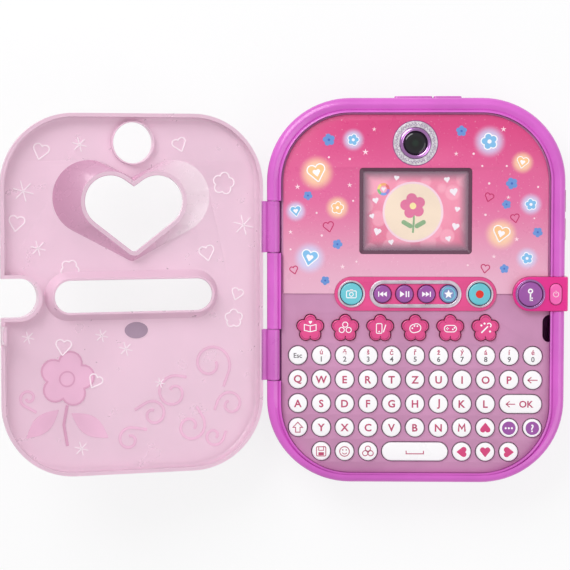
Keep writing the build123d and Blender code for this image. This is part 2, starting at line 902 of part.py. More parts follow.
def knuckle(y):
    half = knuckle_length / 2
    barrel = along_y(hinge_x, hinge_z, RegularPolygon(knuckle_radius, small_sides), y - half, y + half)
    into_wall = -cover_width / 2 + cover_wall / 2
    arm = slab(hinge_x, into_wall, y - half, y + half, cover_lip, hinge_z + knuckle_radius)
    return barrel + arm


def hook():
    near = latch_y - hook_width / 2
    far = latch_y + hook_width / 2
    right = cover_width / 2
    blade = slab(hook_x, right, near, far, hook_window_low - hook_bar, cover_lip + cover_wall)
    window = slab(hook_x, right, near + hook_post, far - hook_post, hook_window_low, hook_window_high)
    return blade - window


def cover_shut():
    cover = cover_tray()
    floor_z = cover_floor + bite
    throat_z = funnel_tip + cover_wall
    cover += disc(camera_x, camera_y, hole_radius + hole_collar, cover_floor - hole_collar_depth, floor_z)
    cover += loft([hole_heart(heart_land, funnel_tip), flare_heart(0, floor_z)], ruled=True)
    cover += loft([slot_face(slot_land, funnel_tip), slot_face(slot_land + slot_flare, floor_z)], ruled=True)
    cover += notch_outline(cover_wall, cover_lip, floor_z) & cover_block()
    cover -= loft([hole_heart(0, throat_z), flare_heart(-flare_wall, cover_top + bite)], ruled=True)
    cover -= prism(hole_heart(0, 0), funnel_tip - bite, throat_z + bite)
    cover -= loft([slot_face(0, throat_z), slot_face(slot_flare, cover_top + bite)], ruled=True)
    cover -= prism(slot_face(0, 0), funnel_tip - bite, throat_z + bite)
    cover -= disc(camera_x, camera_y, hole_radius, cover_lip, cover_top + 1)
    cover -= notch_outline(0, cover_lip - 1, cover_top + 1)
    cover += hook()
    for y in hinge_centres():
        cover += knuckle(y)
        cover -= pin_line(y, Circle(pin_radius + pin_running_gap))
    return cover


def opened(shut):
    """Turn a piece of the shut cover about the hinge line to where it rests."""
    return Pos(hinge_x, 0, hinge_z) * Rot(0, -cover_open_angle, 0) * Pos(-hinge_x, 0, -hinge_z) * shut


def hinge_pins():
    return Compound(children=[pin_line(y, Circle(pin_radius)).solids()[0] for y in hinge_centres()])


# ---------------------------------------------------------------- sides


def volume_button(y):
    block = volume_block(y, 0, side_x - wall - volume_depth, side_x + volume_proud)
    return chamfer(block.faces().sort_by(Axis.X)[-1].edges(), volume_round)


def port_cover(span):
    left, right = span
    flap = slab(left, right, end_y - flap_sink, end_y + flap_proud, flap_bottom, flap_bottom + flap_height)
    return chamfer(flap.faces().sort_by(Axis.Y)[-1].edges(), flap_round)


def port_sockets():
    shells = []
    for span in flap_spans.values():
        shell = socket_block(span, 0)
        mouth = Pos(0, socket_wall, 0) * socket_block(span, -socket_wall)
        shells.append((shell - mouth).solids()[0])
    return Compound(children=shells)


# ---------------------------------------------------------------- all the pieces

small_button_names = ("previous_button", "play_button", "next_button", "star_button")

pieces = {
    "rear_cover": rear_cover(),
    "front_frame": front_frame(),
    "keyboard_face": keyboard_face(),
    "upper_face_plate": upper_face_plate(),
    "strip_tray": strip_tray(),
    "strip_rings": strip_rings(),
    "screen_bezel": screen_bezel(),
    "screen_lens": screen_lens(),
    "display_panel": display_panel(),
    "camera_ring": camera_ring(),
    "camera_bezel": camera_bezel(),
    "camera_lens": camera_lens(),
    "camera_module": camera_module(),
    "main_board": main_board(),
    "key_board": key_board(),
    "keypad_mat": keypad_mat(),
    "speaker": speaker(),
    "battery_cells": battery_cells(),
    "battery_contacts": battery_contacts(),
    "battery_door": battery_door(),
    "housing_screws": housing_screws(),
    "lock_plate": lock_plate(),
    "unlock_ring": unlock_ring(),
    "unlock_button": unlock_button(),
    "power_button": power_button(),
    "latch_bolt": latch_bolt(),
    "latch_solenoid": latch_solenoid(),
    "hinge_pins": hinge_pins(),
    "cover": opened(cover_shut()),
    "photo_button": strip_button(-end_button_x, end_button_radius),
    "record_button": strip_button(end_button_x, end_button_radius),
    "port_sockets": port_sockets(),
    "stand_feet": stand_feet(),
}
for name, (x, y) in zip(small_button_names, small_button_centres()):
    pieces[name] = strip_button(x, small_button_radius, small_sides)
for index, (x, y) in enumerate(flower_centres(), start=1):
    pieces[f"flower_button_{index}"] = flower_button(x, y)
for name, centres in key_groups.items():
    pieces[name] = key_group(centres)
for name, place in wide_keys.items():
    pieces[name] = wide_key(*place)
for name, y in volume_ys.items():
    pieces[name] = volume_button(y)
for name, span in flap_spans.items():
    pieces[name] = port_cover(span)

os.makedirs("parts", exist_ok=True)
for name, piece in pieces.items():
    export_step(piece, f"parts/{name}.step")
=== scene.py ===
from math import acos, asin, atan2, cos, dist, hypot, pi, radians, sin, sqrt

import bmesh
import bpy
from mathutils import Matrix, Vector


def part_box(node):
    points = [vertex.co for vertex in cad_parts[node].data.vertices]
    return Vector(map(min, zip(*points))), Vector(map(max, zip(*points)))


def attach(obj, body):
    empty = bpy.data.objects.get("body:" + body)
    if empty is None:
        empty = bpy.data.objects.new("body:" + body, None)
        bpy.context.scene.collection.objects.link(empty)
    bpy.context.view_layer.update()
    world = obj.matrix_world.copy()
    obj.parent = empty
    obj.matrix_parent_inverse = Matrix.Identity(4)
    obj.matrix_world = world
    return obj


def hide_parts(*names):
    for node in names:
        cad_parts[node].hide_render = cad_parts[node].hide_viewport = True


# The diary lies on its back, seen from above, with its see-through cover folded open to the left.
# Sizes here are millimetres in the CAD frame; MM turns them into Blender's metres.
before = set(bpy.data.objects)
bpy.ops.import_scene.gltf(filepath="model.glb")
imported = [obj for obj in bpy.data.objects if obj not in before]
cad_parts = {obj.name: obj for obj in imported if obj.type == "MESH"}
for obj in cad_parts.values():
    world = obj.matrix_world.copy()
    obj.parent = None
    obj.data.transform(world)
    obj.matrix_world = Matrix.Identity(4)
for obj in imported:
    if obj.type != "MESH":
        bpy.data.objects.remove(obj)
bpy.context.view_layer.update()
MM = 0.001


def low(node):
    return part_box(node)[0] / MM


def high(node):
    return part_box(node)[1] / MM


def middle(node):
    """Centre of a node as (x, y)."""
    return tuple((a + b) / 2 for a, b in zip(low(node).xy, high(node).xy))


# ---- levels and sizes, as in the CAD ----
side_x, end_y, rim_z = high("front_frame")
split_z = 16.0  # where the two shells meet
ledge_z = 24.7  # underside of the frame's inner ledge
body_corner = 48.0
wall = 2.2
rim_round = 3.5
rim_slope = 4.4  # how far the rim's outer round reaches in
mouth_round = 1.5
recess_x = 77.4
recess_far = 102.6
recess_near = -105.6
recess_corner = 40.0
recess_y = (recess_far + recess_near) / 2
face_z = high("keyboard_face").z
face_under = low("keyboard_face").z
plate_z = high("upper_face_plate").z
plate_inset = 1.2
seat = 0.15  # clearance of a fixed piece in its seat
key_top = high("number_keys").z
key_under = low("number_keys").z
key_radius = 5.3
key_gap = 0.5
key_round = 0.9
key_pitch_x = 13.55
key_pitch_y = 13.95
key_first_row = -37.4
wide_height = 10.6
enter_length = 24.1
space_length = 38.0
ink = 0.03  # thickness of a print
strip_y = middle("strip_tray")[1]
unlock_x, lock_y = middle("unlock_button")
power_x = middle("power_button")[0]
lock_radius = 9.9
lock_seat = lock_radius + seat
camera_x, camera_y = middle("camera_ring")
window_y = middle("screen_lens")[1]
window_width = 64.7
window_height = 49.6
latch_y = -21.6
hinge_x = -81.8
hinge_z = 30.8
hinge_ys = (37.0, -37.0)
barrel_radius = 3.6
barrel_half = 14.8
open_angle = 160.5
small_pitch = 12.65
end_button_x = 36.9
petal = 3.3
flower_pitch = 20.2
flower_first_x = -60.6
flower_y = -21.6
volume_ys = {"volume_up_button": 51.8, "volume_down_button": 35.4}
volume_z = 20.6


# ---- outlines: lists of (x, y) ----


def arc(x, y, radius, start, end, turns):
    """Points along a round, angles in degrees, both ends included."""
    steps = [radians(start + (end - start) * i / turns) for i in range(turns + 1)]
    return [(x + radius * cos(a), y + radius * sin(a)) for a in steps]


def rounded(width, length, radius, x=0.0, y=0.0, turns=20):
    dx, dy = width / 2 - radius, length / 2 - radius
    corners = ((dx, dy, 0), (-dx, dy, 90), (-dx, -dy, 180), (dx, -dy, 270))
    points = []
    for cx, cy, start in corners:
        points += arc(x + cx, y + cy, radius, start, start + 90, turns)
    return points


def circle(radius, x=0.0, y=0.0, turns=48):
    return arc(x, y, radius, 0, 360, turns)[:-1]


def stadium(width, length, x=0.0, y=0.0, turns=14):
    return rounded(width, length, min(width, length) / 2 - 0.001, x, y, turns)


def body_outline(inset):
    return rounded(2 * (side_x - inset), 2 * (end_y - inset), body_corner - inset)


def recess_outline(inset):
    length = recess_far - recess_near
    return rounded(2 * (recess_x - inset), length - 2 * inset, recess_corner - inset, y=recess_y)


def flower(radius, x=0.0, y=0.0, reach=4.5, petals=5, turns=9):
    """Round petals that meet in clefts."""
    half = reach * sin(pi / petals)
    inner = reach * cos(pi / petals)
    cleft = inner + sqrt(max(radius**2 - half**2, 0.0))
    bend = atan2(cleft * sin(pi / petals), cleft * cos(pi / petals) - reach)
    points = []
    for i in range(petals):
        heading = pi / 2 + 2 * pi * i / petals
        for k in range(turns):
            angle = heading - bend + 2 * bend * k / turns
            points.append((x + reach * cos(heading) + radius * cos(angle),
                           y + reach * sin(heading) + radius * sin(angle)))
    return points


def star(radius, x=0.0, y=0.0, waist=0.45, points=5):
    outline = []
    for i in range(2 * points):
        angle = pi / 2 + pi * i / points
        reach = radius if i % 2 == 0 else radius * waist
        outline.append((x + reach * cos(angle), y + reach * sin(angle)))
    return outline


def tangent_angle(x, y, circle_x, circle_y, radius):
    reach = hypot(circle_x - x, circle_y - y)
    heading = atan2(circle_y - y, circle_x - x) + asin(radius / reach)
    length = sqrt(reach**2 - radius**2)
    return atan2(y + length * sin(heading) - circle_y, x + length * cos(heading) - circle_x)


def heart(cleft_y, lobe_x, lobe_y, lobe_radius, tip_y, tip_radius, turns=26, tip_turns=5):
    """Two round lobes with straight runs to a cleft and to a rounded tip."""
    first = tangent_angle(0, cleft_y, lobe_x, lobe_y, lobe_radius)
    last = atan2(tip_y - lobe_y, -lobe_x) + acos((lobe_radius - tip_radius) / hypot(lobe_x, tip_y - lobe_y))
    right = [(lobe_x + lobe_radius * cos(first + (last - first) * i / turns),
              lobe_y + lobe_radius * sin(first + (last - first) * i / turns)) for i in range(turns + 1)]
    right += [(tip_radius * cos(last + (-pi / 2 - last) * i / tip_turns),
               tip_y + tip_radius * sin(last + (-pi / 2 - last) * i / tip_turns)) for i in range(1, tip_turns)]
    left = [(-x, y) for x, y in reversed(right)]
    return [(0.0, cleft_y)] + right + [(0.0, tip_y - tip_radius)] + left


def small_heart(size, x=0.0, y=0.0, turn=0.0):
    """A heart about size across, for prints, reliefs and key legends."""
    unit = heart(0.33, 0.235, 0.2, 0.26, -0.42, 0.06, 10, 3)
    return moved(unit, x, y, turn, size)


def moved(points, x, y, turn=0.0, scale=1.0):
    c, s = cos(radians(turn)) * scale, sin(radians(turn)) * scale
    return [(x + c * px - s * py, y + s * px + c * py) for px, py in points]


# ---- meshes ----


def ring(bm, points, z):
    return [bm.verts.new((x * MM, y * MM, z * MM)) for x, y in points]


def bridge(bm, first, second, smooth=True):
    count = len(first)
    for i in range(count):
        face = bm.faces.new((first[i], first[(i + 1) % count], second[(i + 1) % count], second[i]))
        face.smooth = smooth


def fill(bm, rings):
    """Flat cap over an outline and the holes in it."""
    edges = []
    for points in rings:
        for i, vert in enumerate(points):
            following = points[(i + 1) % len(points)]
            edges.append(bm.edges.get((vert, following)) or bm.edges.new((vert, following)))
    bmesh.ops.triangle_fill(bm, use_beauty=False, use_dissolve=False, edges=edges)


def to_mesh(bm, sharp=38.0):
    bmesh.ops.recalc_face_normals(bm, faces=bm.faces)
    mesh = bpy.data.meshes.new("shape")
    bm.to_mesh(mesh)
    bm.free()
    mesh.set_sharp_from_angle(angle=radians(sharp))
    return mesh


def stack(levels, loop=False):
    """A solid through outlines of equal count at rising levels; loop joins the last back to the first."""
    bm = bmesh.new()
    rings = [ring(bm, points, z) for points, z in levels]
    for first, second in zip(rings, rings[1:]):
        bridge(bm, first, second)
    if loop:
        bridge(bm, rings[-1], rings[0])
    else:
        fill(bm, [rings[0]])
        fill(bm, [rings[-1]])
    return to_mesh(bm)


def soft_top(bottom, top, radius, steps=4):
    """(inset, z) up a wall and round its top edge."""
    turns = [pi / 2 * i / steps for i in range(steps + 1)]
    return [(0.0, bottom)] + [(radius * (1 - cos(a)), top - radius * (1 - sin(a))) for a in turns]


def button(outline, bottom, top, radius):
    """A solid with a rounded top edge; outline takes an inset."""
    return stack([(outline(inset), z) for inset, z in soft_top(bottom, top, radius)])


def plate(outer, holes, bottom, top, radius=0.15, steps=2):
    """A flat piece with holes and softened top edges. Each outline is a function of how far it grows."""
    bm = bmesh.new()
    levels = soft_top(bottom, top, radius, steps)
    ends = {0: [], len(levels) - 1: []}
    for outline, sign in [(outer, -1)] + [(hole, 1) for hole in holes]:
        rings = [ring(bm, outline(sign * inset), z) for inset, z in levels]
        for first, second in zip(rings, rings[1:]):
            bridge(bm, first, second)
        for end in ends:
            ends[end].append(rings[end])
    for rings in ends.values():
        fill(bm, rings)
    return to_mesh(bm)


def flat(outlines, bottom, top):
    """A thin print or relief from plain outlines, the first one outside and the others holes in it."""
    bm = bmesh.new()
    lower = [ring(bm, points, bottom) for points in outlines]
    upper = [ring(bm, points, top) for points in outlines]
    for first, second in zip(lower, upper):
        bridge(bm, first, second, smooth=False)
    fill(bm, lower)
    fill(bm, upper)
    return to_mesh(bm)


def turned(profile, x, y, turns=64):
    """A round piece from (radius, z) pairs; a zero radius closes it at the axis."""
    bm = bmesh.new()
    rings = []
    for radius, z in profile:
        if radius == 0:
            rings.append([bm.verts.new((x * MM, y * MM, z * MM))])
        else:
            rings.append(ring(bm, circle(radius, x, y, turns), z))
    for first, second in zip(rings, rings[1:]):
        if len(first) == len(second):
            bridge(bm, first, second)
        else:
            tip, rim = (first, second) if len(first) == 1 else (second, first)
            for i in range(turns):
                bm.faces.new((tip[0], rim[i], rim[(i + 1) % turns])).smooth = True
    return to_mesh(bm)


def hoop(profile, x, y, turns=64):
    """A closed ring from a closed run of (radius, z) pairs."""
    return stack([(circle(radius, x, y, turns), z) for radius, z in profile], loop=True)


def block(left, right, near, far, bottom, top):
    return stack([([(left, near), (right, near), (right, far), (left, far)], z) for z in (bottom, top)])


def letters(text, size, x, y, z, weight=0.0):
    """Raised print of a text centred on a place; size is the height of a capital."""
    if text == "M":
        corners = ((-0.45, -0.5), (-0.37, 0.5), (0.0, -0.1), (0.37, 0.5), (0.45, -0.5))
        return stroke([(x + dx * size, y + dy * size) for dx, dy in corners], 0.2 * size, z, z + ink)
    curve = bpy.data.curves.new("letters", "FONT")
    curve.body = text
    curve.size = size / 0.7 * MM
    curve.align_x = "CENTER"
    curve.offset = weight * MM
    curve.extrude = ink * MM / 2
    curve.resolution_u = 3
    holder = bpy.data.objects.new("letters", curve)
    mesh = bpy.data.meshes.new_from_object(holder)
    bpy.data.objects.remove(holder)
    xs = [v.co.x for v in mesh.vertices]
    ys = [v.co.y for v in mesh.vertices]
    centre = Vector(((min(xs) + max(xs)) / 2, (min(ys) + max(ys)) / 2, -ink * MM / 2))
    mesh.transform(Matrix.Translation(Vector((x, y, z)) * MM - centre))
    return mesh


def stroke(points, width, bottom, top, closed=False):
    """A drawn line of even width with mitred corners: one outline, or a band when the line is closed."""
    nearest = 0.02
    points = [p for i, p in enumerate(points) if i == 0 or dist(p, points[i - 1]) > nearest]
    if closed and dist(points[0], points[-1]) < nearest:
        points.pop()
    left, right = [], []
    for i, (x, y) in enumerate(points):
        ways = []
        if i or closed:
            ways.append(atan2(y - points[i - 1][1], x - points[i - 1][0]))
        if closed or i + 1 < len(points):
            after = points[(i + 1) % len(points)]
            ways.append(atan2(after[1] - y, after[0] - x))
        along = sum(cos(way) for way in ways), sum(sin(way) for way in ways)
        size = max(hypot(*along), 0.01)
        reach = width / 2 / max(size / len(ways), 0.45)
        left.append((x - along[1] / size * reach, y + along[0] / size * reach))
        right.append((x + along[1] / size * reach, y - along[0] / size * reach))
    if closed:
        return flat(sorted((left, right), key=lambda line: -max(p[0] for p in line)), bottom, top)
    return flat([left + right[::-1]], bottom, top)


class Print:
    """Marks that stand a little above a surface. Their points are taken from the place (x, y)."""

    def __init__(self, level, x=0.0, y=0.0, thickness=ink):
        self.level, self.x, self.y, self.thickness = level, x, y, thickness

    def area(self, *outlines, lift=0.0):
        placed = [moved(points, self.x, self.y) for points in outlines]
        return flat(placed, self.level + lift, self.level + lift + self.thickness)

    def line(self, points, width=0.5, closed=False, lift=0.0):
        placed = moved(points, self.x, self.y)
        return stroke(placed, width, self.level + lift, self.level + lift + self.thickness, closed)

    def text(self, text, size, dx=0.0, dy=0.0, weight=0.0, lift=0.0):
        return letters(text, size, self.x + dx, self.y + dy, self.level + lift, weight)


def merged(meshes):
    bm = bmesh.new()
    for mesh in meshes:
        bm.from_mesh(mesh)
        bpy.data.meshes.remove(mesh)
    mesh = bpy.data.meshes.new("shape")
    bm.to_mesh(mesh)
    bm.free()
    return mesh


def combined(mesh, tools, operation="DIFFERENCE"):
    """The mesh with the tools taken out of it one by one, or joined to it."""
    work = bpy.data.objects.new("work", mesh)
    holders = [work]
    for tool_mesh in tools:
        holder = bpy.data.objects.new("tool", tool_mesh)
        holders.append(holder)
        step = work.modifiers.new("step", "BOOLEAN")
        step.operation = operation
        step.solver = "EXACT"
        step.object = holder
    for holder in holders:
        bpy.context.scene.collection.objects.link(holder)
    result = bpy.data.meshes.new_from_object(work.evaluated_get(bpy.context.evaluated_depsgraph_get()))
    for holder in holders:
        bpy.data.objects.remove(holder)
    result.set_sharp_from_angle(angle=radians(38))
    return result


looks = {}


def piece(name, mesh, material, body="housing", stands_for=()):
    """One visual piece; the CAD nodes that it stands for are hidden behind it."""
    obj = bpy.data.objects.new(name, mesh)
    bpy.context.scene.collection.objects.link(obj)
    mesh.materials.append(looks[material])
    mesh.name = name
    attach(obj, body)
    if stands_for:
        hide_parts(*stands_for)
    return obj


def moving(node, ending, mesh, material):
    """A piece that stands for a CAD node and rides on the body of that node."""
    return piece(node + ending, mesh, material, node + "_body", [node])


def legend(name, node, meshes, material="print_white"):
    return piece(name, merged(meshes), material, node + "_body")


def on_housing(name, mesh, material, node):
    return piece(name, mesh, material, stands_for=[node])


# ---- materials ----


def rgb(red, green, blue):
    """A colour as it looks, 0 to 255, turned into Blender's linear values."""
    shades = [v / 255 for v in (red, green, blue)]
    return tuple(v / 12.92 if v <= 0.04045 else ((v + 0.055) / 1.055) ** 2.4 for v in shades) + (1.0,)


class Look:
    """A Principled material with its node tree at hand."""

    def __init__(self, name, roughness=0.3, coat=0.0, metallic=0.0):
        self.material = looks[name] = bpy.data.materials.new(name)
        self.material.use_nodes = True
        self.nodes = self.material.node_tree.nodes
        self.links = self.material.node_tree.links
        self.shader = self.nodes["Principled BSDF"]
        self.shader.inputs["Roughness"].default_value = roughness
        self.shader.inputs["Coat Weight"].default_value = coat
        self.shader.inputs["Coat Roughness"].default_value = 0.08
        self.shader.inputs["Metallic"].default_value = metallic
        self.place = self.nodes.new("ShaderNodeTexCoord").outputs["Object"]

    def noise(self, scale, detail=3.0):
        """Scale is in features per metre."""
        node = self.nodes.new("ShaderNodeTexNoise")
        node.inputs["Scale"].default_value = scale
        node.inputs["Detail"].default_value = detail
        self.links.new(self.place, node.inputs["Vector"])
        return node.outputs["Fac"]

    def spread(self, value, from_low, from_high, to_low, to_high, smooth=False):
        node = self.nodes.new("ShaderNodeMapRange")
        node.interpolation_type = "SMOOTHSTEP" if smooth else "LINEAR"
        for socket, number in zip(("From Min", "From Max", "To Min", "To Max"),
                                  (from_low, from_high, to_low, to_high)):
            node.inputs[socket].default_value = number
        self.links.new(value, node.inputs["Value"])
        return node.outputs["Result"]

    def mix(self, factor, first, second):
        node = self.nodes.new("ShaderNodeMix")
        node.data_type = "RGBA"
        for socket, value in ((0, factor), (6, first), (7, second)):
            if isinstance(value, bpy.types.NodeSocket):
                self.links.new(value, node.inputs[socket])
            else:
                node.inputs[socket].default_value = value
        return node.outputs[2]

    def axis(self, name):
        node = self.nodes.new("ShaderNodeSeparateXYZ")
        self.links.new(self.place, node.inputs[0])
        return node.outputs[name]

    def distance(self, x, y, z):
        node = self.nodes.new("ShaderNodeVectorMath")
        node.operation = "DISTANCE"
        node.inputs[1].default_value = (x * MM, y * MM, z * MM)
        self.links.new(self.place, node.inputs[0])
        return node.outputs["Value"]

    def maths(self, operation, first, second):
        node = self.nodes.new("ShaderNodeMath")
        node.operation = operation
        for socket, value in zip(node.inputs, (first, second)):
            if isinstance(value, bpy.types.NodeSocket):
                self.links.new(value, socket)
            else:
                socket.default_value = value
        return node.outputs[0]

    def colour(self, value):
        self.links.new(value, self.shader.inputs["Base Color"])
        return self

    def grain(self, scale, depth):
        """Fine moulded texture; depth in millimetres."""
        bump = self.nodes.new("ShaderNodeBump")
        bump.inputs["Strength"].default_value = 0.6
        bump.inputs["Distance"].default_value = depth * MM
        self.links.new(self.noise(scale), bump.inputs["Height"])
        self.links.new(bump.outputs["Normal"], self.shader.inputs["Normal"])
        return self

    def wear(self, low_value, high_value, scale=90.0):
        """Roughness that drifts over the surface, as handled plastic has."""
        self.links.new(self.spread(self.noise(scale, 5.0), 0.3, 0.7, low_value, high_value),
                       self.shader.inputs["Roughness"])
        return self


def shaded(look, colour, drift=0.06, scale=35.0):
    """A colour with slow, slight drift, as moulded plastic has."""
    deep = tuple(v * (1 - drift) for v in colour[:3]) + (1.0,)
    pale = tuple(min(1.0, v * (1 + drift) + drift * 0.02) for v in colour[:3]) + (1.0,)
    return look.colour(look.mix(look.spread(look.noise(scale), 0.35, 0.65, 0.0, 1.0), deep, pale))


def plastic(name, colour, roughness=0.28, coat=0.3, drift=0.06):
    look = shaded(Look(name, roughness, coat), colour, drift)
    look.grain(1400.0, 0.008).wear(roughness * 0.85, roughness * 1.25)


def metal(name, colour, roughness):
    look = shaded(Look(name, roughness, metallic=1.0), colour, 0.08)
    look.grain(2500.0, 0.006).wear(roughness * 0.7, roughness * 1.4, 300.0)


# Name: colour, roughness, coat, drift.
plastics = {
    "body_plastic": ((213, 96, 200), 0.34, 0.45),
    "face_plastic": ((196, 138, 176), 0.42, 0.1),
    "hot_pink": ((224, 72, 138), 0.3),
    "deep_pink": ((172, 48, 108), 0.4, 0.1),
    "shadow_mauve": ((96, 52, 78), 0.4, 0.2),
    "key_white": ((250, 248, 250), 0.3, 0.3, 0.01),
    "legend_pink": ((188, 66, 108), 0.5, 0.0),
    "legend_grey": ((104, 96, 104), 0.5, 0.0),
    "legend_rose": ((214, 66, 124), 0.5, 0.0),
    "print_white": ((250, 246, 250), 0.4, 0.0, 0.02),
    "teal": ((104, 196, 210), 0.3),
    "signal_red": ((226, 44, 30), 0.35),
    "purple": ((154, 80, 162), 0.3),
    "blue_grey": ((122, 142, 190), 0.3),
    "magenta": ((228, 26, 140), 0.28, 0.5),
    "power_pink": ((246, 100, 182), 0.35),
    "deep_magenta": ((170, 24, 128), 0.35),
    "foot_rubber": ((110, 45, 100), 0.7, 0.0),
    "dark_plastic": ((34, 30, 40), 0.4),
    "board_green": ((40, 120, 74), 0.45, 0.2, 0.2),
    "silicone": ((200, 196, 204), 0.6, 0.0),
    "lilac_grey": ((166, 148, 176), 0.4),
    "relief_pale": ((253, 234, 244), 0.3, 0.4, 0.02),
    "relief_pink": ((231, 178, 207), 0.35),
    "relief_deep": ((216, 156, 188), 0.35),
    "barrel_pink": ((206, 100, 194), 0.3),
    "pin_shadow": ((128, 44, 122), 0.5, 0.0),
    "patch_grey": ((160, 132, 156), 0.45),
    "flower_blue": ((104, 146, 212), 0.4, 0.2),
    "flower_deep": ((70, 104, 186), 0.4, 0.2),
    "flower_eye": ((250, 236, 150), 0.4, 0.2),
    "peach": ((252, 196, 140), 0.4, 0.2),
    "sky_blue": ((128, 188, 232), 0.4, 0.2),
    "outline_rose": ((196, 40, 104), 0.45, 0.1),
    "pale_rose": ((252, 216, 228), 0.4, 0.2),
    "cream": ((246, 226, 196), 0.5, 0.0),
    "leaf_green": ((110, 168, 96), 0.5, 0.0),
}
rainbow = ((226, 60, 70), (244, 160, 60), (244, 226, 90), (96, 190, 96), (80, 150, 226), (150, 96, 200))
plastics.update({"rainbow_%d" % i: (colour, 0.5, 0.0) for i, colour in enumerate(rainbow)})
for name, (colour, *numbers) in plastics.items():
    plastic(name, rgb(*colour), *numbers)
metal("pearl", rgb(226, 214, 226), 0.38)
metal("steel", rgb(190, 190, 196), 0.32)
metal("cell_case", rgb(170, 172, 182), 0.4)
metal("lilac_metal", rgb(196, 140, 206), 0.2)


# ---- special materials ----


# Printed motifs on the upper plate: (x, y, size, turn, kind)
plate_motifs = ((-57, 68, 13, 12, "peach"), (-36, 87, 8.5, -14, "blue"), (-69, 46, 8, 8, "blue"),
                (-45, 48, 9, -10, "peach"), (-61, 19, 12, -12, "blue"), (42, 86, 12, 14, "blue"),
                (61, 74, 8.5, -12, "peach"), (66, 50, 8.5, 10, "blue"), (49, 33, 12, -14, "peach"),
                (64, 19, 8.5, 12, "blue"))


def printed_plate():
    """The upper plate: deep rose at the far end, pale pink near the keys, with soft glows."""
    look = Look("upper_print", 0.3, 0.4)
    along = look.spread(look.axis("Y"), -0.002, 0.1, 0.0, 1.0)
    base = look.mix(look.spread(along, 0.0, 0.62, 0.0, 1.0, True), rgb(230, 176, 200), rgb(224, 100, 154))
    base = look.mix(look.spread(along, 0.55, 1.0, 0.0, 1.0, True), base, rgb(217, 66, 130))
    for x, y, size, _, kind in plate_motifs:
        glow = look.spread(look.distance(x, y, plate_z), size * 0.35 * MM, size * 0.85 * MM, 0.8, 0.0, True)
        base = look.mix(glow, base, rgb(255, 216, 170) if kind == "peach" else rgb(206, 214, 248))
    speck = look.spread(look.noise(900.0, 1.0), 0.70, 0.76, 0.0, 0.25)
    base = look.mix(speck, base, rgb(255, 236, 244))
    look.colour(base).grain(1500.0, 0.004).wear(0.24, 0.36)


def glittery():
    """Silver-white ring with a fine faceted glitter."""
    look = Look("glitter_ring", 0.3, metallic=0.75)
    cells = look.nodes.new("ShaderNodeTexVoronoi")
    cells.inputs["Scale"].default_value = 900.0
    look.links.new(look.place, cells.inputs["Vector"])
    grey = look.nodes.new("ShaderNodeRGBToBW")
    look.links.new(cells.outputs["Color"], grey.inputs[0])
    shade = look.spread(grey.outputs[0], 0.1, 0.9, 0.0, 1.0)
    look.colour(look.mix(shade, rgb(206, 194, 208), rgb(255, 252, 255)))
    bump = look.nodes.new("ShaderNodeBump")
    bump.inputs["Strength"].default_value = 0.7
    bump.inputs["Distance"].default_value = 0.0002
    look.links.new(shade, bump.inputs["Height"])
    look.links.new(bump.outputs["Normal"], look.shader.inputs["Normal"])


def screen_glow():
    """What the screen shows: rosy blobs of light out of focus, with painted shade along its edges."""
    look = Look("screen_glow", 0.5)
    blobs = look.nodes.new("ShaderNodeTexVoronoi")
    blobs.feature = "F1"
    blobs.inputs["Scale"].default_value = 95.0
    look.links.new(look.place, blobs.inputs["Vector"])
    spot = look.spread(blobs.outputs["Distance"], 0.38, 0.5, 0.55, 0.0, True)
    base = look.mix(look.spread(look.noise(28.0, 2.0), 0.35, 0.65, 0.0, 1.0), rgb(216, 78, 124), rgb(236, 128, 160))
    picture = look.mix(spot, base, rgb(246, 170, 190))
    # Painted shade: the picture darkens towards its edges, as if shaded by the surround.
    edges = []
    for name, place, half in (("X", 0.0, 0.0308), ("Y", window_y * MM, 0.0232)):
        reach = look.maths("ABSOLUTE", look.maths("SUBTRACT", look.axis(name), place), 0.0)
        edges.append(look.spread(reach, half - 0.007, half - 0.0005, 0.0, 1.0, True))
    picture = look.mix(look.maths("MAXIMUM", *edges), picture, rgb(112, 52, 84))
    look.colour(picture)
    look.links.new(picture, look.shader.inputs["Emission Color"])
    look.shader.inputs["Emission Strength"].default_value = 0.12


def clear_pane():
    look = shaded(Look("clear_pane", 0.06), rgb(235, 225, 240), 0.02)
    look.shader.inputs["Alpha"].default_value = 0.1
    look.grain(60.0, 0.02)


def dark_lens():
    """A black lens with a painted faint green reflection at its centre and a slightly purple tone towards its rim."""
    look = Look("dark_lens", 0.05, 0.3)
    reach = look.distance(camera_x, camera_y, 31.0)
    # Painted reflection: a faint green spot at the centre of the lens.
    inner = look.mix(look.spread(reach, 0.0012, 0.0026, 0.0, 1.0, True), rgb(14, 34, 24), rgb(6, 5, 9))
    outer = look.mix(look.spread(reach, 0.0036, 0.0042, 0.0, 1.0, True), inner, rgb(16, 10, 22))
    look.colour(outer).grain(400.0, 0.002)


def cover_look():
    """See-through plastic with a satin surface."""
    look = shaded(Look("cover_pink", 0.3, 0.35), rgb(248, 213, 232), 0.03, 18.0)
    look.shader.inputs["Transmission Weight"].default_value = 0.3
    look.shader.inputs["IOR"].default_value = 1.35
    look.grain(1200.0, 0.006).wear(0.26, 0.4)


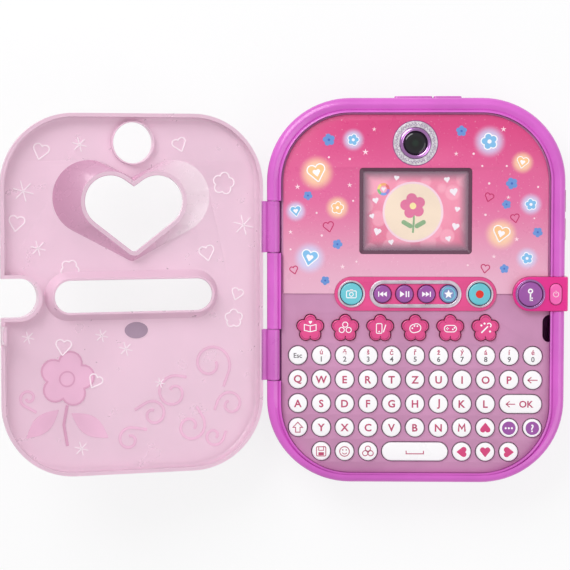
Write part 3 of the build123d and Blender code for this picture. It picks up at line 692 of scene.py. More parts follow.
def funnel_look():
    """The heart's sloping wall, with painted shade: darker towards the free edge and, as a painted highlight, paler
    towards the hinge.
    """
    look = Look("funnel_painted_shade", 0.25, 0.5)
    painted_light_across = look.spread(look.axis("X"), -0.203, -0.122, 0.0, 1.0)
    # Painted shade and painted highlight: the colour runs from dark at the free edge to pale near the hinge.
    base = look.mix(look.spread(painted_light_across, 0.0, 0.45, 0.0, 1.0, True), rgb(204, 146, 178), rgb(226, 176, 204))
    base = look.mix(look.spread(painted_light_across, 0.5, 0.95, 0.0, 1.0, True), base, rgb(252, 228, 240))
    look.shader.inputs["Transmission Weight"].default_value = 0.12
    look.colour(base).grain(1200.0, 0.006).wear(0.2, 0.34)


for make in (printed_plate, glittery, screen_glow, clear_pane, dark_lens, cover_look, funnel_look):
    make()


# ---- housing ----


quarter = [pi / 2 * i / 7 for i in range(8)]


def smooth_normals(obj):
    modifier = obj.modifiers.new("normals", "WEIGHTED_NORMAL")
    modifier.keep_sharp = True
    modifier.weight = 80


def grown(width, length, corner, x=0.0, y=0.0, turns=20):
    """An outline as a function of how far it grows."""
    return lambda g: rounded(width + 2 * g, length + 2 * g, corner + g, x, y, turns)


def hole(radius, x, y, turns=48):
    return lambda g: circle(radius + g, x, y, turns)


def latch_slot(bottom, top):
    return flat([stadium(8.4, 16.0, recess_x, latch_y)], bottom, top)


def frame_mesh():
    levels = [(body_outline(0), split_z)]
    levels += [(body_outline(rim_slope * (1 - cos(a))), rim_z - rim_round * (1 - sin(a))) for a in quarter]
    levels += [(recess_outline(-mouth_round * sin(a)), rim_z - mouth_round * (1 - cos(a))) for a in reversed(quarter)]
    levels += [(recess_outline(0), face_under), (recess_outline(1.0), face_under), (recess_outline(1.0), ledge_z),
               (body_outline(wall), ledge_z), (body_outline(wall), split_z)]
    gap = barrel_half + 0.3
    pockets = [block(-side_x - 1, -recess_x + 0.5, y - gap, y + gap, 26.7, rim_z + 1) for y in hinge_ys]
    pockets += [latch_slot(23.7, 32.0),
                block(recess_x - 1, side_x + 3, lock_y - lock_seat, lock_y + lock_seat, face_z, rim_z + 1)]
    pockets += [block(side_x - 3.2, side_x + 1, y - 7.0, y + 7.0, 17.5, 23.7) for y in volume_ys.values()]
    pockets += [block(left, right, end_y - 0.9, end_y + 1, 18.2, 27.8) for left, right in ((-12.6, 9.7), (9.9, 26.5))]
    return combined(stack(levels, loop=True), pockets)


smooth_normals(on_housing("front_frame_shell", frame_mesh(), "body_plastic", "front_frame"))


# ---- keys ----


def key_place(column, row):
    return (column - 5) * key_pitch_x, key_first_row - row * key_pitch_y


def on_key(column, row):
    return Print(key_top, *key_place(column, row))


key_rows = {node: [(column, row) for column in columns] for node, row, columns in (
    ("escape_key", 0, [0]), ("number_keys", 0, range(1, 11)), ("top_letter_keys", 1, range(10)),
    ("backspace_key", 1, [10]), ("middle_letter_keys", 2, range(9)), ("shift_key", 3, [0]),
    ("bottom_letter_keys", 3, range(1, 8)), ("symbol_keys", 3, range(8, 11)), ("mode_keys", 4, range(1, 4)),
    ("arrow_keys", 4, range(7, 10)))}
enter_x = (key_place(9, 2)[0] + key_place(10, 2)[0]) / 2
wide_keys = {"enter_key": (enter_x, key_place(0, 2)[1], enter_length),
             "space_key": (0.0, key_place(0, 4)[1], space_length)}


def flower_place(number):
    return flower_first_x + number * flower_pitch


def face_mesh():
    holes = [hole(key_radius + key_gap, *key_place(c, r), 32) for places in key_rows.values() for c, r in places]
    wide = wide_height + 2 * key_gap
    holes += [grown(length + 2 * key_gap, wide, wide / 2 - 0.001, x, y, 10) for x, y, length in wide_keys.values()]
    holes += [lambda g, i=i: flower(petal + key_gap + g, flower_place(i), flower_y) for i in range(6)]
    holes += [grown(90.7, 17.2, 8.599, 0.0, strip_y), grown(69.8, 54.7, 0.3, 0.0, window_y, 4),
              hole(10.5, camera_x, camera_y)]
    mesh = plate(lambda g: recess_outline(seat - g), holes, face_under, face_z, 0.2)
    return combined(mesh, [latch_slot(27.0, 32.0)])


on_housing("face_sheet", face_mesh(), "face_plastic", "keyboard_face")


def key_cap(outline, top=key_top, radius=key_round):
    return button(outline, key_under, top, radius)


def disc(radius, x, y):
    """A circle as a function of its inset."""
    return lambda inset: circle(radius - inset, x, y)


for node, places in key_rows.items():
    caps = [key_cap(disc(key_radius, *key_place(c, r))) for c, r in places]
    moving(node, "_caps", merged(caps), "key_white")
for node, (x, y, length) in wide_keys.items():
    cap = key_cap(lambda inset: stadium(length - 2 * inset, wide_height - 2 * inset, x, y))
    moving(node, "_cap", cap, "key_white")

letter_size = 4.2
digit_size = 2.9
for node, row, first, text in (("top_letter_keys", 1, 0, "QWERTZUIOP"), ("middle_letter_keys", 2, 0, "ASDFGHJKL"),
                               ("bottom_letter_keys", 3, 1, "YXCVBNM")):
    prints = [on_key(first + i, row).text(letter, letter_size, weight=0.14) for i, letter in enumerate(text)]
    legend(node + "_print", node, prints, "legend_pink")
for name, row_of_signs, dy, colour in (("digits", "1234567890", -2.0, "legend_grey"),
                                       ("accents", "úěščřžýáíé", 2.1, "legend_pink")):
    prints = [on_key(i, 0).text(sign, digit_size, 0.0, dy, 0.08) for i, sign in enumerate(row_of_signs, 1)]
    legend("number_keys_" + name, "number_keys", prints, colour)
legend("escape_key_print", "escape_key", [on_key(0, 0).text("Esc", 2.7, weight=0.06)], "legend_grey")


def key_arrow(spot, tail, tip):
    return [spot.line([(tail, 0), (tip + 0.2, 0)], 0.55),
            spot.line([(tip + 2.0, 1.7), (tip, 0), (tip + 2.0, -1.7)], 0.55)]


legend("backspace_key_print", "backspace_key", key_arrow(on_key(10, 1), 2.8, -2.8), "legend_pink")
spot = Print(key_top, *wide_keys["enter_key"][:2])
legend("enter_key_print", "enter_key", key_arrow(spot, -3.2, -8.4) + [spot.text("OK", 3.8, 3.2, 0.0, 0.12)],
       "legend_pink")
shift = [(0, 3.0), (-2.8, 0), (-1.3, 0), (-1.3, -2.8), (1.3, -2.8), (1.3, 0), (2.8, 0)]
legend("shift_key_print", "shift_key", [on_key(0, 3).line(shift, closed=True)], "legend_pink")
legend("up_key_print", "symbol_keys", [on_key(8, 3).area(small_heart(6.0, 0.0, 0.2, 180.0))], "legend_rose")
discs = [on_key(column, 3).area(circle(3.9, turns=40)) for column in (9, 10)]
legend("symbol_keys_discs", "symbol_keys", discs, "purple")
symbols = [on_key(9, 3).area(circle(0.6, dx, 0, 16), lift=ink) for dx in (-1.8, 0.0, 1.8)]
legend("symbol_keys_marks", "symbol_keys", symbols + [on_key(10, 3).text("?", 4.2, weight=0.12, lift=ink)])
disk, face, friends = on_key(1, 4), on_key(2, 4), on_key(3, 4)
modes = [disk.line(rounded(5.4, 5.4, 0.6, turns=3), closed=True), disk.area(rounded(3.2, 1.8, 0.3, 0, -1.4, 3)),
         disk.line([(-1.4, 2.4), (-1.4, 0.6), (1.4, 0.6), (1.4, 2.4)], 0.45),
         face.line(circle(2.8, turns=24), closed=True), face.line(arc(0, 0, 1.5, 210, 330, 8), 0.45)]
modes += [face.area(circle(0.4, dx, 0.9, 12)) for dx in (-1.0, 1.0)]
modes += [friends.line(circle(1.5, dx, dy, 16), closed=True) for dx, dy in ((-1.6, -1.0), (1.6, -1.0), (0.0, 1.7))]
legend("mode_keys_print", "mode_keys", modes, "legend_pink")
spot = Print(key_top, *wide_keys["space_key"][:2])
space = [(-5.0, 0.6), (-5.0, -1.2), (5.0, -1.2), (5.0, 0.6)]
legend("space_key_print", "space_key", [spot.line(space, 0.55)], "legend_pink")
hearts = [on_key(c, 4).area(small_heart(6.0, turn=turn)) for c, turn in ((7, -90.0), (8, 0.0), (9, 90.0))]
legend("arrow_keys_print", "arrow_keys", hearts, "legend_rose")


# ---- flower buttons ----


def icons(index, spot):
    """White signs: an open book, three faces, a handset, a palette, a game pad and a wand."""
    def dots(radius, *places):
        return [spot.area(circle(radius, dx, dy, 12)) for dx, dy in places]

    if index == 0:
        book = [(0, -2.0), (-3.4, -1.2), (-3.4, 2.2), (0, 1.4), (3.4, 2.2), (3.4, -1.2)]
        return [spot.line(book, closed=True), spot.line([(0, -1.8), (0, 1.2)]), spot.area(small_heart(2.0, 0.1, 3.4))]
    if index == 1:
        return [spot.line(circle(1.5, dx, dy, 16), closed=True) for dx, dy in ((-2.0, -0.9), (2.0, -0.9), (0.0, 2.2))]
    if index == 2:
        handset = spot.line(rounded(3.2, 5.6, 0.6, -0.6, 0, 3), closed=True)
        return [handset, spot.line([(1.8, -2.2), (3.2, 2.2)], 0.6)] + dots(0.45, (-0.6, -1.8))
    if index == 3:
        palette = spot.line(moved(stadium(6.4, 4.8, turns=6), 0, 0.2, 15), closed=True)
        return [palette] + dots(0.5, (-1.7, 0.2), (-0.5, 1.5), (1.2, 1.4))
    if index == 4:
        cross = [spot.line([(-2.6, 0), (-0.8, 0)], 0.45), spot.line([(-1.7, 0.9), (-1.7, -0.9)], 0.45)]
        return [spot.line(stadium(7.0, 3.8, turns=6), closed=True)] + cross + dots(0.5, (1.4, -0.4), (2.4, 0.5))
    wand = [spot.line([(-2.4, -2.4), (1.4, 1.4)], 0.8), spot.line(arc(2.0, 2.0, 1.2, -60, 150, 8), 0.6)]
    return wand + dots(0.6, (-2.4, 1.9), (-0.6, 3.0), (2.6, -1.6))


flower_top = high("flower_button_1").z
groove = 0.64  # from a petal's edge in to the line pressed round it
for i in range(6):
    x = flower_place(i)
    node = "flower_button_%d" % (i + 1)
    moving(node, "_cap", key_cap(lambda inset: flower(petal - inset, x, flower_y), flower_top, 0.6), "hot_pink")
    rim = flat([flower(petal - groove + 0.02, x, flower_y), flower(petal - groove, x, flower_y, reach=4.0)],
               flower_top - 0.01, flower_top + 0.02)
    piece(node + "_rim", rim, "deep_pink", node + "_body")
    legend(node + "_icon", node, icons(i, Print(flower_top, x, flower_y)))


# ---- button strip ----


def ring_profile(outer, inner, bottom, top, radius=0.3):
    """(radius, z) round a ring with softened top edges."""
    turns = [pi / 2 * i / 3 for i in range(4)]
    rise = [(outer - radius * (1 - cos(a)), top - radius * (1 - sin(a))) for a in turns]
    fall = [(inner + radius * (1 - cos(a)), top - radius * (1 - sin(a))) for a in reversed(turns)]
    return [(outer, bottom)] + rise + fall + [(inner, bottom)]


strip_top = high("strip_tray").z
ring_top = high("strip_rings").z
button_top = high("play_button").z
end_radius = 6.3
small_radius = 5.0
button_room = 0.3
small_x = [(i - 1.5) * small_pitch for i in range(4)]
holes = [hole(end_radius + button_room, side * end_button_x, strip_y) for side in (-1, 1)]
holes += [hole(small_radius + button_room, x, strip_y) for x in small_x]
tray = plate(grown(93.2, 19.7, 9.849, 0.0, strip_y), holes, face_z, strip_top, 0.35, 3)
on_housing("strip_bed", tray, "hot_pink", "strip_tray")
rings = [hoop(ring_profile(7.9, 6.7, strip_top, ring_top), side * end_button_x, strip_y) for side in (-1, 1)]
oval_length, oval_radius = 53.0, 8.0
oval = [(rounded(oval_length - 2 * (oval_radius - r), 2 * r, r - 0.001, 0.0, strip_y), z)
        for r, z in ring_profile(oval_radius, 5.8, strip_top, ring_top, 0.4)]
on_housing("strip_hoops", merged(rings + [stack(oval, loop=True)]), "pearl", "strip_rings")

for node, x, radius, colour in (
        ("photo_button", -end_button_x, end_radius, "teal"), ("record_button", end_button_x, end_radius, "teal"),
        ("previous_button", small_x[0], small_radius, "purple"), ("play_button", small_x[1], small_radius, "purple"),
        ("next_button", small_x[2], small_radius, "purple"), ("star_button", small_x[3], small_radius, "blue_grey")):
    moving(node, "_cap", key_cap(disc(radius, x, strip_y), button_top), colour)


def triangle(x, reach):
    half = abs(reach) * 0.75
    return [(x - reach * 0.5, -half), (x + reach * 0.6, 0), (x - reach * 0.5, half)]


def skip_sign(spot, side):
    """Two triangles and a bar that point to one side."""
    return [spot.area(triangle(-1.5 * side, 2.0 * side)), spot.area(triangle(0.6 * side, 2.0 * side)),
            spot.area(rounded(0.6, 3.0, 0.1, 2.2 * side, 0, 2))]


legend("previous_sign", "previous_button", skip_sign(Print(button_top, small_x[0], strip_y), -1))
spot = Print(button_top, small_x[1], strip_y)
bars = [spot.area(rounded(0.7, 3.4, 0.1, dx, 0, 2)) for dx in (1.0, 2.4)]
legend("play_sign", "play_button", [spot.area(triangle(-1.4, 2.4))] + bars)
legend("next_sign", "next_button", skip_sign(Print(button_top, small_x[2], strip_y), 1))
spot = Print(button_top, small_x[3], strip_y)
legend("star_sign_ring", "star_button", [spot.area(circle(3.9, turns=40), circle(3.3, turns=40))], "teal")
legend("star_sign", "star_button", [spot.area(star(2.7))])
spot = Print(button_top, -end_button_x, strip_y)
legend("photo_sign", "photo_button", [
    spot.line(rounded(5.6, 4.0, 0.6, 0, -0.2, 3), closed=True), spot.line(circle(1.1, 0, -0.2, 20), 0.45, True),
    spot.area(rounded(1.8, 0.8, 0.2, 0, 2.2, 2))])
spot = Print(button_top, end_button_x, strip_y)
legend("record_dot", "record_button", [spot.area(circle(2.3, turns=40))], "signal_red")


# ---- printed plate and its motifs ----


def plate_mesh():
    holes = [grown(window_width, window_height, 2.0, 0.0, window_y), hole(12.85, camera_x, camera_y)]
    mesh = plate(lambda g: recess_outline(plate_inset - g), holes, face_z, plate_z, 0.2)
    reach = 60.0
    away = [block(-90, 90, -130, -1.5, 20, 40), flat([stadium(93.5, 20.0, 0.0, strip_y)], 29, 33),
            flat([stadium(reach, 2 * lock_seat, unlock_x - lock_seat + reach / 2, lock_y)], 29, 33)]
    return combined(mesh, away)


on_housing("upper_plate", plate_mesh(), "upper_print", "upper_face_plate")
sheet = Print(plate_z)


def small_bloom(scale, x, y, turn=0.0):
    return moved(flower(1.15, reach=1.5), x, y, turn, scale)


white, fills = [], {"peach": [], "blue": []}
for number, (x, y, size, turn, kind) in enumerate(plate_motifs):
    if number % 2 == 0:
        shape, core = small_heart(size * 0.8, x, y, turn), small_heart(size * 0.34, x, y, turn)
    else:
        shape, core = small_bloom(size * 0.15, x, y, turn), circle(size * 0.1, x, y, 20)
    fills[kind].append(sheet.area(shape))
    white += [sheet.line(shape, size * 0.055, True, ink), sheet.area(core, lift=ink)]
piece("print_warm", merged(fills["peach"]), "peach")
piece("print_cool", merged(fills["blue"]), "sky_blue")
piece("print_outlines", merged(white), "print_white")

# The small prints: (x, y, size), and a turn where the shape has a direction.
blue_flowers = ((-50, 87, 1.35, 10), (-62, 55, 1.0, 40), (26, 92, 1.2, 0), (55, 62, 1.3, 20), (-45, 27, 1.1, 50),
                (-52, 6, 1.0, 30), (52, 50, 1.0, 15), (70, 34, 1.1, 35), (51, 13, 1.0, 5))
pale_stars = ((-29, 80, 2.0), (23, 79, 1.5), (50, 93, 1.8), (-68, 60, 1.8), (53, 54, 1.3), (-72, 34, 1.4),
              (-42, 14, 1.7), (-24, 93, 1.4), (45, 20, 1.4), (58, 30, 1.5), (-38, 61, 1.6))
pale_dots = ((-38, 76, 0.7), (-50, 77, 0.6), (33, 79, 0.7), (52, 72, 0.6), (70, 60, 0.6), (-54, 32, 0.7),
             (-72, 24, 0.6), (42, 62, 0.7), (-36, 52, 0.6), (-57, 45, 0.6), (40, 44, 0.7), (68, 42, 0.5),
             (-34, 17, 0.6), (30, 15, 0.6), (38, 72, 0.6))
rosy_hearts = ((-50, 37, 6.0, 12), (42, 54, 5.0, -16), (-70, 12, 4.6, 14), (57, 42, 5.0, 10), (40, 13, 5.0, -8))
blooms = [sheet.area(small_bloom(size, x, y, turn)) for x, y, size, turn in blue_flowers]
piece("print_flowers", merged(blooms), "flower_blue")
eyes = [sheet.area(circle(size * 0.55, x, y, 16), lift=ink) for x, y, size, turn in blue_flowers]
piece("print_flower_eyes", merged(eyes), "flower_deep")
pale = [sheet.area(star(size, x, y, 0.32)) for x, y, size in pale_stars]
pale += [sheet.area(circle(size, x, y, 14)) for x, y, size in pale_dots]
piece("print_pale_motifs", merged(pale), "pale_rose")
rosy = [sheet.line(small_heart(size, x, y, turn), 0.6, True) for x, y, size, turn in rosy_hearts]
piece("print_rosy_hearts", merged(rosy), "outline_rose")


# ---- screen ----


def surround_mesh():
    levels = [((69.5, 54.4, 0.3), face_under), ((69.5, 54.4, 0.3), face_z), ((64.1, 49.0, 1.0), face_z),
              ((60.7, 45.6, 0.8), 29.4), ((62.7, 47.6, 0.8), 29.4), ((62.7, 47.6, 0.8), face_under)]
    return stack([(rounded(w, l, r, 0.0, window_y, 5), z) for (w, l, r), z in levels], loop=True)


on_housing("screen_surround", surround_mesh(), "shadow_mauve", "screen_bezel")
pane_low, pane_high = low("screen_lens"), high("screen_lens")
pane = grown(pane_high.x - pane_low.x, pane_high.y - pane_low.y, 0.6, 0.0, window_y, 5)
on_housing("screen_pane", plate(pane, [], pane_low.z, pane_high.z, 0.1), "clear_pane", "screen_lens")
panel = Print(high("display_panel").z, 0.0, window_y, 0.02)
medal = Print(panel.level, -1.5, window_y - 0.6, 0.02)
piece("screen_picture", panel.area(rounded(61.6, 46.5, 0.6, turns=4)), "screen_glow")
piece("screen_vignette_edge", medal.area(circle(17.5, turns=64), circle(16.3, turns=64), lift=0.03), "pale_rose")
piece("screen_vignette", medal.area(circle(16.3, turns=64), lift=0.03), "cream")
stem = Print(panel.level, medal.x, medal.y, 0.015)
piece("screen_stem", stem.line([(0, -12.0), (0.6, -4.0), (0, 2.0)], 1.1, lift=0.055), "leaf_green")
leaves = [medal.area(moved(stadium(7.0, 2.6, turns=6), dx, -7.0, turn), lift=0.055)
          for dx, turn in ((-3.4, 150), (4.2, 30))]
piece("screen_leaves", merged(leaves), "leaf_green")
piece("screen_bloom", medal.area(moved(flower(petal), 0, 3.5, 10, 0.95), lift=0.08), "hot_pink")
piece("screen_bloom_eye", medal.area(circle(1.9, 0, 3.5, 24), lift=0.11), "flower_eye")
screen_hearts = ((-23, 52, 3.6, 12), (-22, 34, 4.4, -15), (22, 57, 4.6, 10), (23, 37, 4.4, -12), (-25, 43, 3.0, 20),
                 (18, 64, 3.4, 8), (24, 47, 3.2, -10), (-14, 28, 3.2, 12), (19, 30, 3.4, 14), (-11, 65, 3.0, -8))
sparks = [panel.area(small_heart(size, x, y - window_y, turn), lift=0.03) for x, y, size, turn in screen_hearts]
piece("screen_hearts", merged(sparks), "print_white")
badge = Print(panel.level, -18.5, window_y + 12.5, 0.02)
for i in range(len(rainbow)):
    outer_arc, inner_arc = arc(0, 0, 3.6, i * 60, i * 60 + 60, 6), arc(0, 0, 2.1, i * 60 + 60, i * 60, 6)
    piece("screen_rainbow_%d" % i, badge.area(outer_arc + inner_arc, lift=0.03), "rainbow_%d" % i)
piece("screen_rainbow_heart", badge.area(small_heart(2.6), lift=0.03), "print_white")


# ---- camera ----


ring_high = high("camera_ring").z
bezel_high = high("camera_bezel").z
lens_high = high("camera_lens").z
on_housing("camera_hoop", hoop(ring_profile(12.7, 9.1, face_z, ring_high, 0.2), camera_x, camera_y), "glitter_ring",
           "camera_ring")
zigzag = [(r * cos(radians(i * 4.5)), r * sin(radians(i * 4.5))) for i in range(80) for r in [(11.45, 10.35)[i % 2]]]
piece("camera_zigzag", Print(ring_high, camera_x, camera_y).line(zigzag, 0.3, True), "lilac_grey")
# Painted shadow: a dark ring on the plate round the edge of the glitter ring.
edge = Print(plate_z - 0.1, camera_x, camera_y, 0.2)
piece("camera_shadow_ring", edge.area(circle(13.05, turns=64), circle(12.6, turns=64)), "pin_shadow")
bezel = [(8.9, face_under), (8.9, bezel_high - 0.8), (8.7, bezel_high - 0.3), (8.1, bezel_high), (7.6, bezel_high),
         (7.1, bezel_high - 0.3), (6.9, bezel_high - 0.9), (6.9, face_under)]
on_housing("camera_surround", hoop(bezel, camera_x, camera_y), "lilac_metal", "camera_bezel")
dome = [(0, face_under), (6.5, face_under), (6.5, lens_high - 1.0), (6.1, lens_high - 0.75), (4.9, lens_high - 0.55),
        (3.4, lens_high - 0.2), (1.7, lens_high - 0.05), (0, lens_high)]
on_housing("camera_glass", turned(dome, camera_x, camera_y), "dark_lens", "camera_lens")


# ---- lock ----


lock_top = high("lock_plate").z
lock_right = high("lock_plate").x


def lock_outline(inset):
    """Round on the face, square with small rounds at the side of the housing."""
    r, corner = lock_radius - inset, 0.8
    right = lock_right - inset - corner
    return (arc(unlock_x, lock_y, r, 90, 270, 32) + arc(right, lock_y - r + corner, corner, 270, 360, 4)
            + arc(right, lock_y + r - corner, corner, 0, 90, 4))


def lock_mesh():
    top = button(lock_outline, face_z, lock_top, 0.8)
    skirt = block(85.85, lock_right, lock_y - lock_radius, lock_y + lock_radius, lock_top - 15.0, face_z + 1.0)
    holes = [flat([circle(7.3, unlock_x, lock_y, 64)], 29, 36), flat([stadium(7.4, 12.7, power_x, lock_y)], 29, 36)]
    return combined(combined(top, [skirt], "UNION"), holes)


smooth_normals(on_housing("lock_cap", lock_mesh(), "magenta", "lock_plate"))
unlock_ring = hoop(ring_profile(8.5, 7.3, lock_top, high("unlock_ring").z, 0.25), unlock_x, lock_y)
on_housing("unlock_hoop", unlock_ring, "lilac_metal", "unlock_ring")
unlock_high, power_high = high("unlock_button").z, high("power_button").z
unlock_cap = button(disc(7.0, unlock_x, lock_y), low("unlock_button").z, unlock_high, 0.9)
piece("unlock_cap", unlock_cap, "purple", "unlock_button_body", ["unlock_button"])
spot = Print(unlock_high, unlock_x, lock_y)
key_sign = [spot.area(circle(1.5, 0, 1.8, 24), circle(0.7, 0, 1.8, 24)), spot.area(rounded(0.8, 4.4, 0.1, 0, -1.7, 2))]
key_sign += [spot.area(rounded(1.4, 0.6, 0.1, 0.7, dy, 2)) for dy in (-2.2, -3.5)]
legend("unlock_sign", "unlock_button", key_sign)
power_cap = button(lambda inset: stadium(6.8 - 2 * inset, 12.1 - 2 * inset, power_x, lock_y), low("power_button").z,
                   power_high, 0.8)
piece("power_cap", power_cap, "power_pink", "power_button_body", ["power_button"])
spot = Print(power_high, power_x, lock_y)
power_sign = [spot.line(arc(0, 0, 1.5, 120, 420, 16), 0.4), spot.line([(0, 0.3), (0, 2.1)], 0.4)]
legend("power_sign", "power_button", power_sign, "pale_rose")


# ---- side pieces ----


def slab(width, height, radius, inner, outer, edge, matrix):
    """A plate whose outer face has a softened edge, drawn along Z and then turned to its side.

    A negative edge is for a plate that faces down Z.
    """
    outline = rounded(width, height, radius, turns=5)
    soft = abs(edge)
    levels = [([(x * (1 - 2 * inset / width), y * (1 - 2 * inset / height)) for x, y in outline], z)
              for inset, z in ((0.0, inner), (0.0, outer - edge), (0.3 * soft, outer - 0.3 * edge), (soft, outer))]
    mesh = stack(levels)
    mesh.transform(Matrix(matrix))
    return mesh


for node, y in volume_ys.items():
    to_side = ((0, 0, 1, 0), (1, 0, 0, y * MM), (0, 1, 0, volume_z * MM), (0, 0, 0, 1))
    moving(node, "_cap", slab(13.4, 5.6, 1.0, low(node).x, high(node).x, 0.6, to_side), "deep_magenta")
for node in ("port_cover_wide", "port_cover_narrow"):
    near, far = low(node), high(node)
    x, z = (near.x + far.x) / 2, (near.z + far.z) / 2
    to_end = ((1, 0, 0, x * MM), (0, 0, -1, 0), (0, 1, 0, z * MM), (0, 0, 0, 1))
    flap = slab(far.x - near.x, far.z - near.z, 1.2, -near.y, -far.y, -0.5, to_end)
    moving(node, "_flap", flap, "body_plastic")


# ---- cover, drawn shut and then turned open ----


cover_lip = 32.3
cover_floor = 38.7
cover_top = 40.7
cover_wall = 2.0
funnel_tip = 32.6
throat_z = 34.6
hinge = Vector((hinge_x, 0, hinge_z)) * MM
opening = Matrix.Translation(hinge) @ Matrix.Rotation(radians(-open_angle), 4, "Y") @ Matrix.Translation(-hinge)


def cover_outline(inset, notch):
    points = rounded(151.8 - 2 * inset, 204.2 - 2 * inset, 41.5 - inset, y=-0.5)
    right = 75.9 - inset
    return points + [(right, lock_y - notch)] + arc(unlock_x, lock_y, notch, 270, 90, 24) + [(right, lock_y + notch)]


def slot_outline(grow):
    return stadium(91.4 + 2 * grow, 18.2 + 2 * grow, 0.0, -1.2)


def hole_heart(grow):
    return heart(60.5 + 1.3 * grow, 13.6, 52.05, 14.7 + grow, 26.75, 3.0 + grow)


def flare_heart(grow):
    return heart(65.6 + 1.3 * grow, 24.6, 54.35, 21.0 + grow, 22.2, 4.0 + grow)


def funnel(mouth, throat, lip, back):
    """Rings from the outer face of the cover down to a tip, round it and back up to the inner side."""
    return ((mouth, cover_top), (throat(0), throat_z), (throat(0), funnel_tip + 0.3), (throat(0.3), funnel_tip),
            (throat(lip), funnel_tip), (throat(lip + 0.3), funnel_tip + 0.3), (back, cover_floor))


def cover_mesh():
    bm = bmesh.new()
    outer = [(cover_outline(0, 11.0), cover_lip)]
    outer += [(cover_outline(4.6 * (1 - cos(a)), 11.0), cover_top - 5.4 * (1 - sin(a))) for a in quarter]
    inner = [(cover_outline(cover_wall, 13.0), cover_lip)]
    inner += [(cover_outline(cover_wall + 1.8 * (1 - cos(a)), 13.0), cover_floor - 2.6 * (1 - sin(a)))
              for a in quarter]
    collar = [(circle(radius, camera_x, camera_y), z) for radius, z in
              ((11.6, cover_top), (11.6, 36.0), (11.8, 35.7), (12.2, 35.7), (12.5, 36.0), (12.5, cover_floor))]
    skins = []
    for levels in (outer, inner, funnel(flare_heart(-1.2), hole_heart, 2.3, flare_heart(0)),
                   funnel(slot_outline(3.4), slot_outline, 1.1, slot_outline(4.8)), collar):
        skins.append([ring(bm, points, z) for points, z in levels])
        for first, second in zip(skins[-1], skins[-1][1:]):
            bridge(bm, first, second)
    bridge(bm, skins[0][0], skins[1][0])
    openings = skins[2:]
    fill(bm, [skins[0][-1]] + [rings[0] for rings in openings])
    fill(bm, [skins[1][-1]] + [rings[-1] for rings in openings])
    mesh = to_mesh(bm, 40.0)
    # The heart's sloping faces take the second material, which carries the painted shade and highlight.
    for face in mesh.polygons:
        x, y = face.center.x / MM, face.center.y / MM
        in_heart = abs(x) < 50 and 16 < y < 78 and not (y > 70 and abs(x) < 14)
        face.material_index = 1 if in_heart and abs(face.normal.z) < 0.97 else 0
    mesh.transform(opening)
    return mesh


shell = piece("cover_lid_shell", cover_mesh(), "cover_pink", "cover_lid", ["cover"])
shell.data.materials.append(looks["funnel_painted_shade"])
smooth_normals(shell)


def cover_piece(name, mesh, material):
    mesh.transform(opening)
    piece(name, mesh, material, "cover_lid")


def barrel(y):
    """A hinge barrel along Y with softened ends."""
    radius, half = barrel_radius, barrel_half
    profile = [(0, -half), (radius - 0.5, -half), (radius, -half + 0.5), (radius, half - 0.5), (radius - 0.5, half),
               (0, half)]
    mesh = turned(profile, 0, 0, 40)
    mesh.transform(Matrix(((1, 0, 0, hinge_x * MM), (0, 0, 1, y * MM), (0, -1, 0, hinge_z * MM), (0, 0, 0, 1))))
    return mesh


for number, y in enumerate(hinge_ys, 1):
    arm = block(hinge_x, -75.0, y - barrel_half, y + barrel_half, cover_lip, hinge_z + barrel_radius)
    cover_piece("cover_barrel_%d" % number, barrel(y), "barrel_pink")
    cover_piece("cover_arm_%d" % number, arm, "barrel_pink")
blade = block(74.3, 75.9, latch_y - 5.0, latch_y + 5.0, 23.8, cover_lip + 2.0)
cover_piece("cover_hook", combined(blade, [block(73.0, 77.0, latch_y - 3.0, latch_y + 3.0, 25.1, 28.1)]), "cover_pink")


# ---- reliefs on the inner side of the cover ----


def raised(outline, depth):
    return flat([outline], cover_floor - depth, cover_floor + 0.05)


def ridge(points, width=0.7, depth=0.4, closed=True):
    return stroke(points, width, cover_floor - depth, cover_floor + 0.05, closed)


def curl(x, y, radius, start, sweep, tail):
    """A scroll: a spiral that winds in, with a straight tail where it starts."""
    heading = radians(start) + (-pi / 2 if sweep > 0 else pi / 2)
    points = [(x + radius * cos(radians(start)) + tail * cos(heading),
               y + radius * sin(radians(start)) + tail * sin(heading))]
    for i in range(25):
        angle = radians(start + sweep * i / 24)
        reach = radius * (1 - 0.72 * i / 24)
        points.append((x + reach * cos(angle), y + reach * sin(angle)))
    return points


def leaf(x, y, length, width, turn):
    side = [(length * (i / 12 - 0.5), width / 2 * sin(pi * i / 12)) for i in range(13)]
    return moved(side + [(-px, -py) for px, py in side[1:-1]], x, y, turn)


# (x, y, size, turn) of the hearts and small flowers, (x, y, size) of the stars of three crossed lines.
relief_hearts = ((52, 80, 9, 15), (-28, 84, 8, -20), (66, 40, 9, 10), (-44, 22, 9, -12), (-62, -2, 7, 20),
                 (40, -30, 9, 8), (22, -50, 8, 30))
relief_blooms = ((-54, 62, 2.4, 10), (36, 14, 2.0, 30), (-60, -16, 2.0, 0))
relief_stars = ((30, 84, 4.2), (62, 58, 6.0), (54, 26, 4.4), (-66, 38, 6.0), (-36, 66, 3.6), (60, -24, 3.6),
                (18, -24, 3.8), (-16, -52, 3.0), (4, -32, 4.0), (30, -88, 4.0))
motifs = [ridge(small_heart(size, x, y, turn)) for x, y, size, turn in relief_hearts]
motifs += [ridge(small_bloom(scale, x, y, turn)) for x, y, scale, turn in relief_blooms]
motifs += [ridge(moved([(-size, 0), (size, 0)], x, y, turn), 0.6, closed=False)
           for x, y, size in relief_stars for turn in (15, 75, 135)]
cover_piece("cover_relief", merged(motifs), "relief_pale")
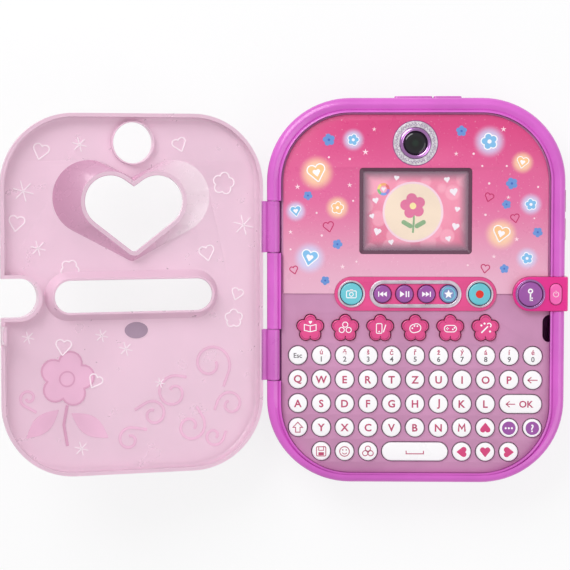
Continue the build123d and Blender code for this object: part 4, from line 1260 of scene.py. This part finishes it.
scrolls = ((-24, -58, 10, 100, -420, 6), (-46, -42, 12, 200, -400, 10), (-12, -70, 8, 60, 400, 8),
           (-34, -78, 9, 150, 420, 8), (-58, -66, 8, 20, 400, 6), (2, -84, 7, 100, -380, 9), (-48, -84, 6, 200, 380, 5),
           (60, -58, 5, 300, 400, 8))
cover_piece("cover_scrolls", merged([ridge(curl(*scroll), 1.5, 0.3, False) for scroll in scrolls]), "relief_pink")
bloom_x, bloom_y = 38, -48
bloom = moved(flower(petal), bloom_x, bloom_y, 12, 2.0)
parts = [raised(outline, 0.2) for outline in (bloom, leaf(25, -75, 26, 11, 35), leaf(52, -73, 24, 10, 140))]
cover_piece("cover_bloom", merged(parts), "relief_pink")
edges = [ridge(bloom, 1.0, 0.35), ridge(circle(4.2, bloom_x, bloom_y, 32), 0.9, 0.35),
         ridge([(bloom_x, -63), (bloom_x + 2, -74), (bloom_x, -86)], 1.6, 0.35, False)]
cover_piece("cover_bloom_edges", merged(edges), "relief_deep")
patch = [(-2.2 + 6.75 * x, -21.4 + 4.65 * y) for x, y in circle(1.0, turns=40)]
cover_piece("cover_patch", raised(patch, 0.3), "patch_grey")


# ---- pieces shown as the CAD made them ----


for material, nodes in {
        "body_plastic": ("rear_cover", "battery_door"), "foot_rubber": ("stand_feet",), "silicone": ("keypad_mat",),
        "dark_plastic": ("display_panel", "camera_module"), "board_green": ("main_board", "key_board"),
        "cell_case": ("battery_cells",),
        "steel": ("speaker", "battery_contacts", "housing_screws", "latch_solenoid", "latch_bolt", "hinge_pins",
                  "port_sockets")}.items():
    for node in nodes:
        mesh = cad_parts[node].data
        mesh.materials.clear()
        mesh.materials.append(looks[material])
        for polygon in mesh.polygons:
            polygon.use_smooth = True
        mesh.set_sharp_from_angle(angle=radians(36))


# ---- floor, light and camera ----


def floor_look():
    """A white table that looks evenly lit to the camera, to reflections and through the cover."""
    look = Look("floor", 0.7)
    look.colour(look.mix(look.spread(look.noise(3.0), 0.3, 0.7, 0.0, 1.0), rgb(238, 238, 240), rgb(242, 242, 244)))
    rays = look.nodes.new("ShaderNodeLightPath").outputs
    white = look.nodes.new("ShaderNodeEmission")
    white.inputs["Color"].default_value = (1.0, 1.0, 1.0, 1.0)
    clear = look.maths("MAXIMUM", rays["Is Glossy Ray"], rays["Is Transmission Ray"])
    share = look.spread(look.maths("MAXIMUM", rays["Is Camera Ray"], clear), 0.0, 1.0, 0.0, 0.8)
    blend = look.nodes.new("ShaderNodeMixShader")
    for socket, value in zip(blend.inputs, (share, look.shader.outputs[0], white.outputs[0])):
        look.links.new(value, socket)
    look.links.new(blend.outputs[0], look.nodes["Material Output"].inputs["Surface"])


floor_look()
floor_size = 3000.0
floor_mesh = flat([rounded(floor_size, floor_size, 10.0, turns=3)], -1.0, -0.05)
floor = bpy.data.objects.new("floor", floor_mesh)
bpy.context.scene.collection.objects.link(floor)
floor_mesh.materials.append(looks["floor"])

scene = bpy.context.scene
world = bpy.data.worlds.new("studio")
scene.world = world
world.use_nodes = True
sky = world.node_tree.nodes["Background"].inputs
sky["Color"].default_value = (1.0, 1.0, 1.0, 1.0)
sky["Strength"].default_value = 0.55


def lamp(name, place, size, power):
    light = bpy.data.lights.new(name, "AREA")
    light.size = size
    light.energy = power
    holder = bpy.data.objects.new(name, light)
    scene.collection.objects.link(holder)
    holder.location = place
    holder.rotation_euler = (-Vector(place)).to_track_quat("-Z", "Y").to_euler()


lamp("key_light", (-0.55, 0.75, 0.9), 0.7, 9.0)
lamp("fill_light", (0.8, -0.4, 0.9), 0.9, 4.0)

camera = bpy.data.cameras.new("camera")
camera.sensor_width = 36.0
camera.lens = 121.33
camera.clip_start = 0.05
camera.clip_end = 20.0
eye = bpy.data.objects.new("camera", camera)
scene.collection.objects.link(eye)
turn = Matrix.Identity(3)
for degrees, axis in ((-0.11, "Z"), (-1.66, "Y"), (3.61, "X")):
    turn = turn @ Matrix.Rotation(radians(degrees), 3, axis)
eye.matrix_world = Matrix.Translation((-0.04307, 0.0732, 1.138)) @ turn.transposed().to_4x4()
scene.camera = eye
scene.view_settings.view_transform = "Standard"
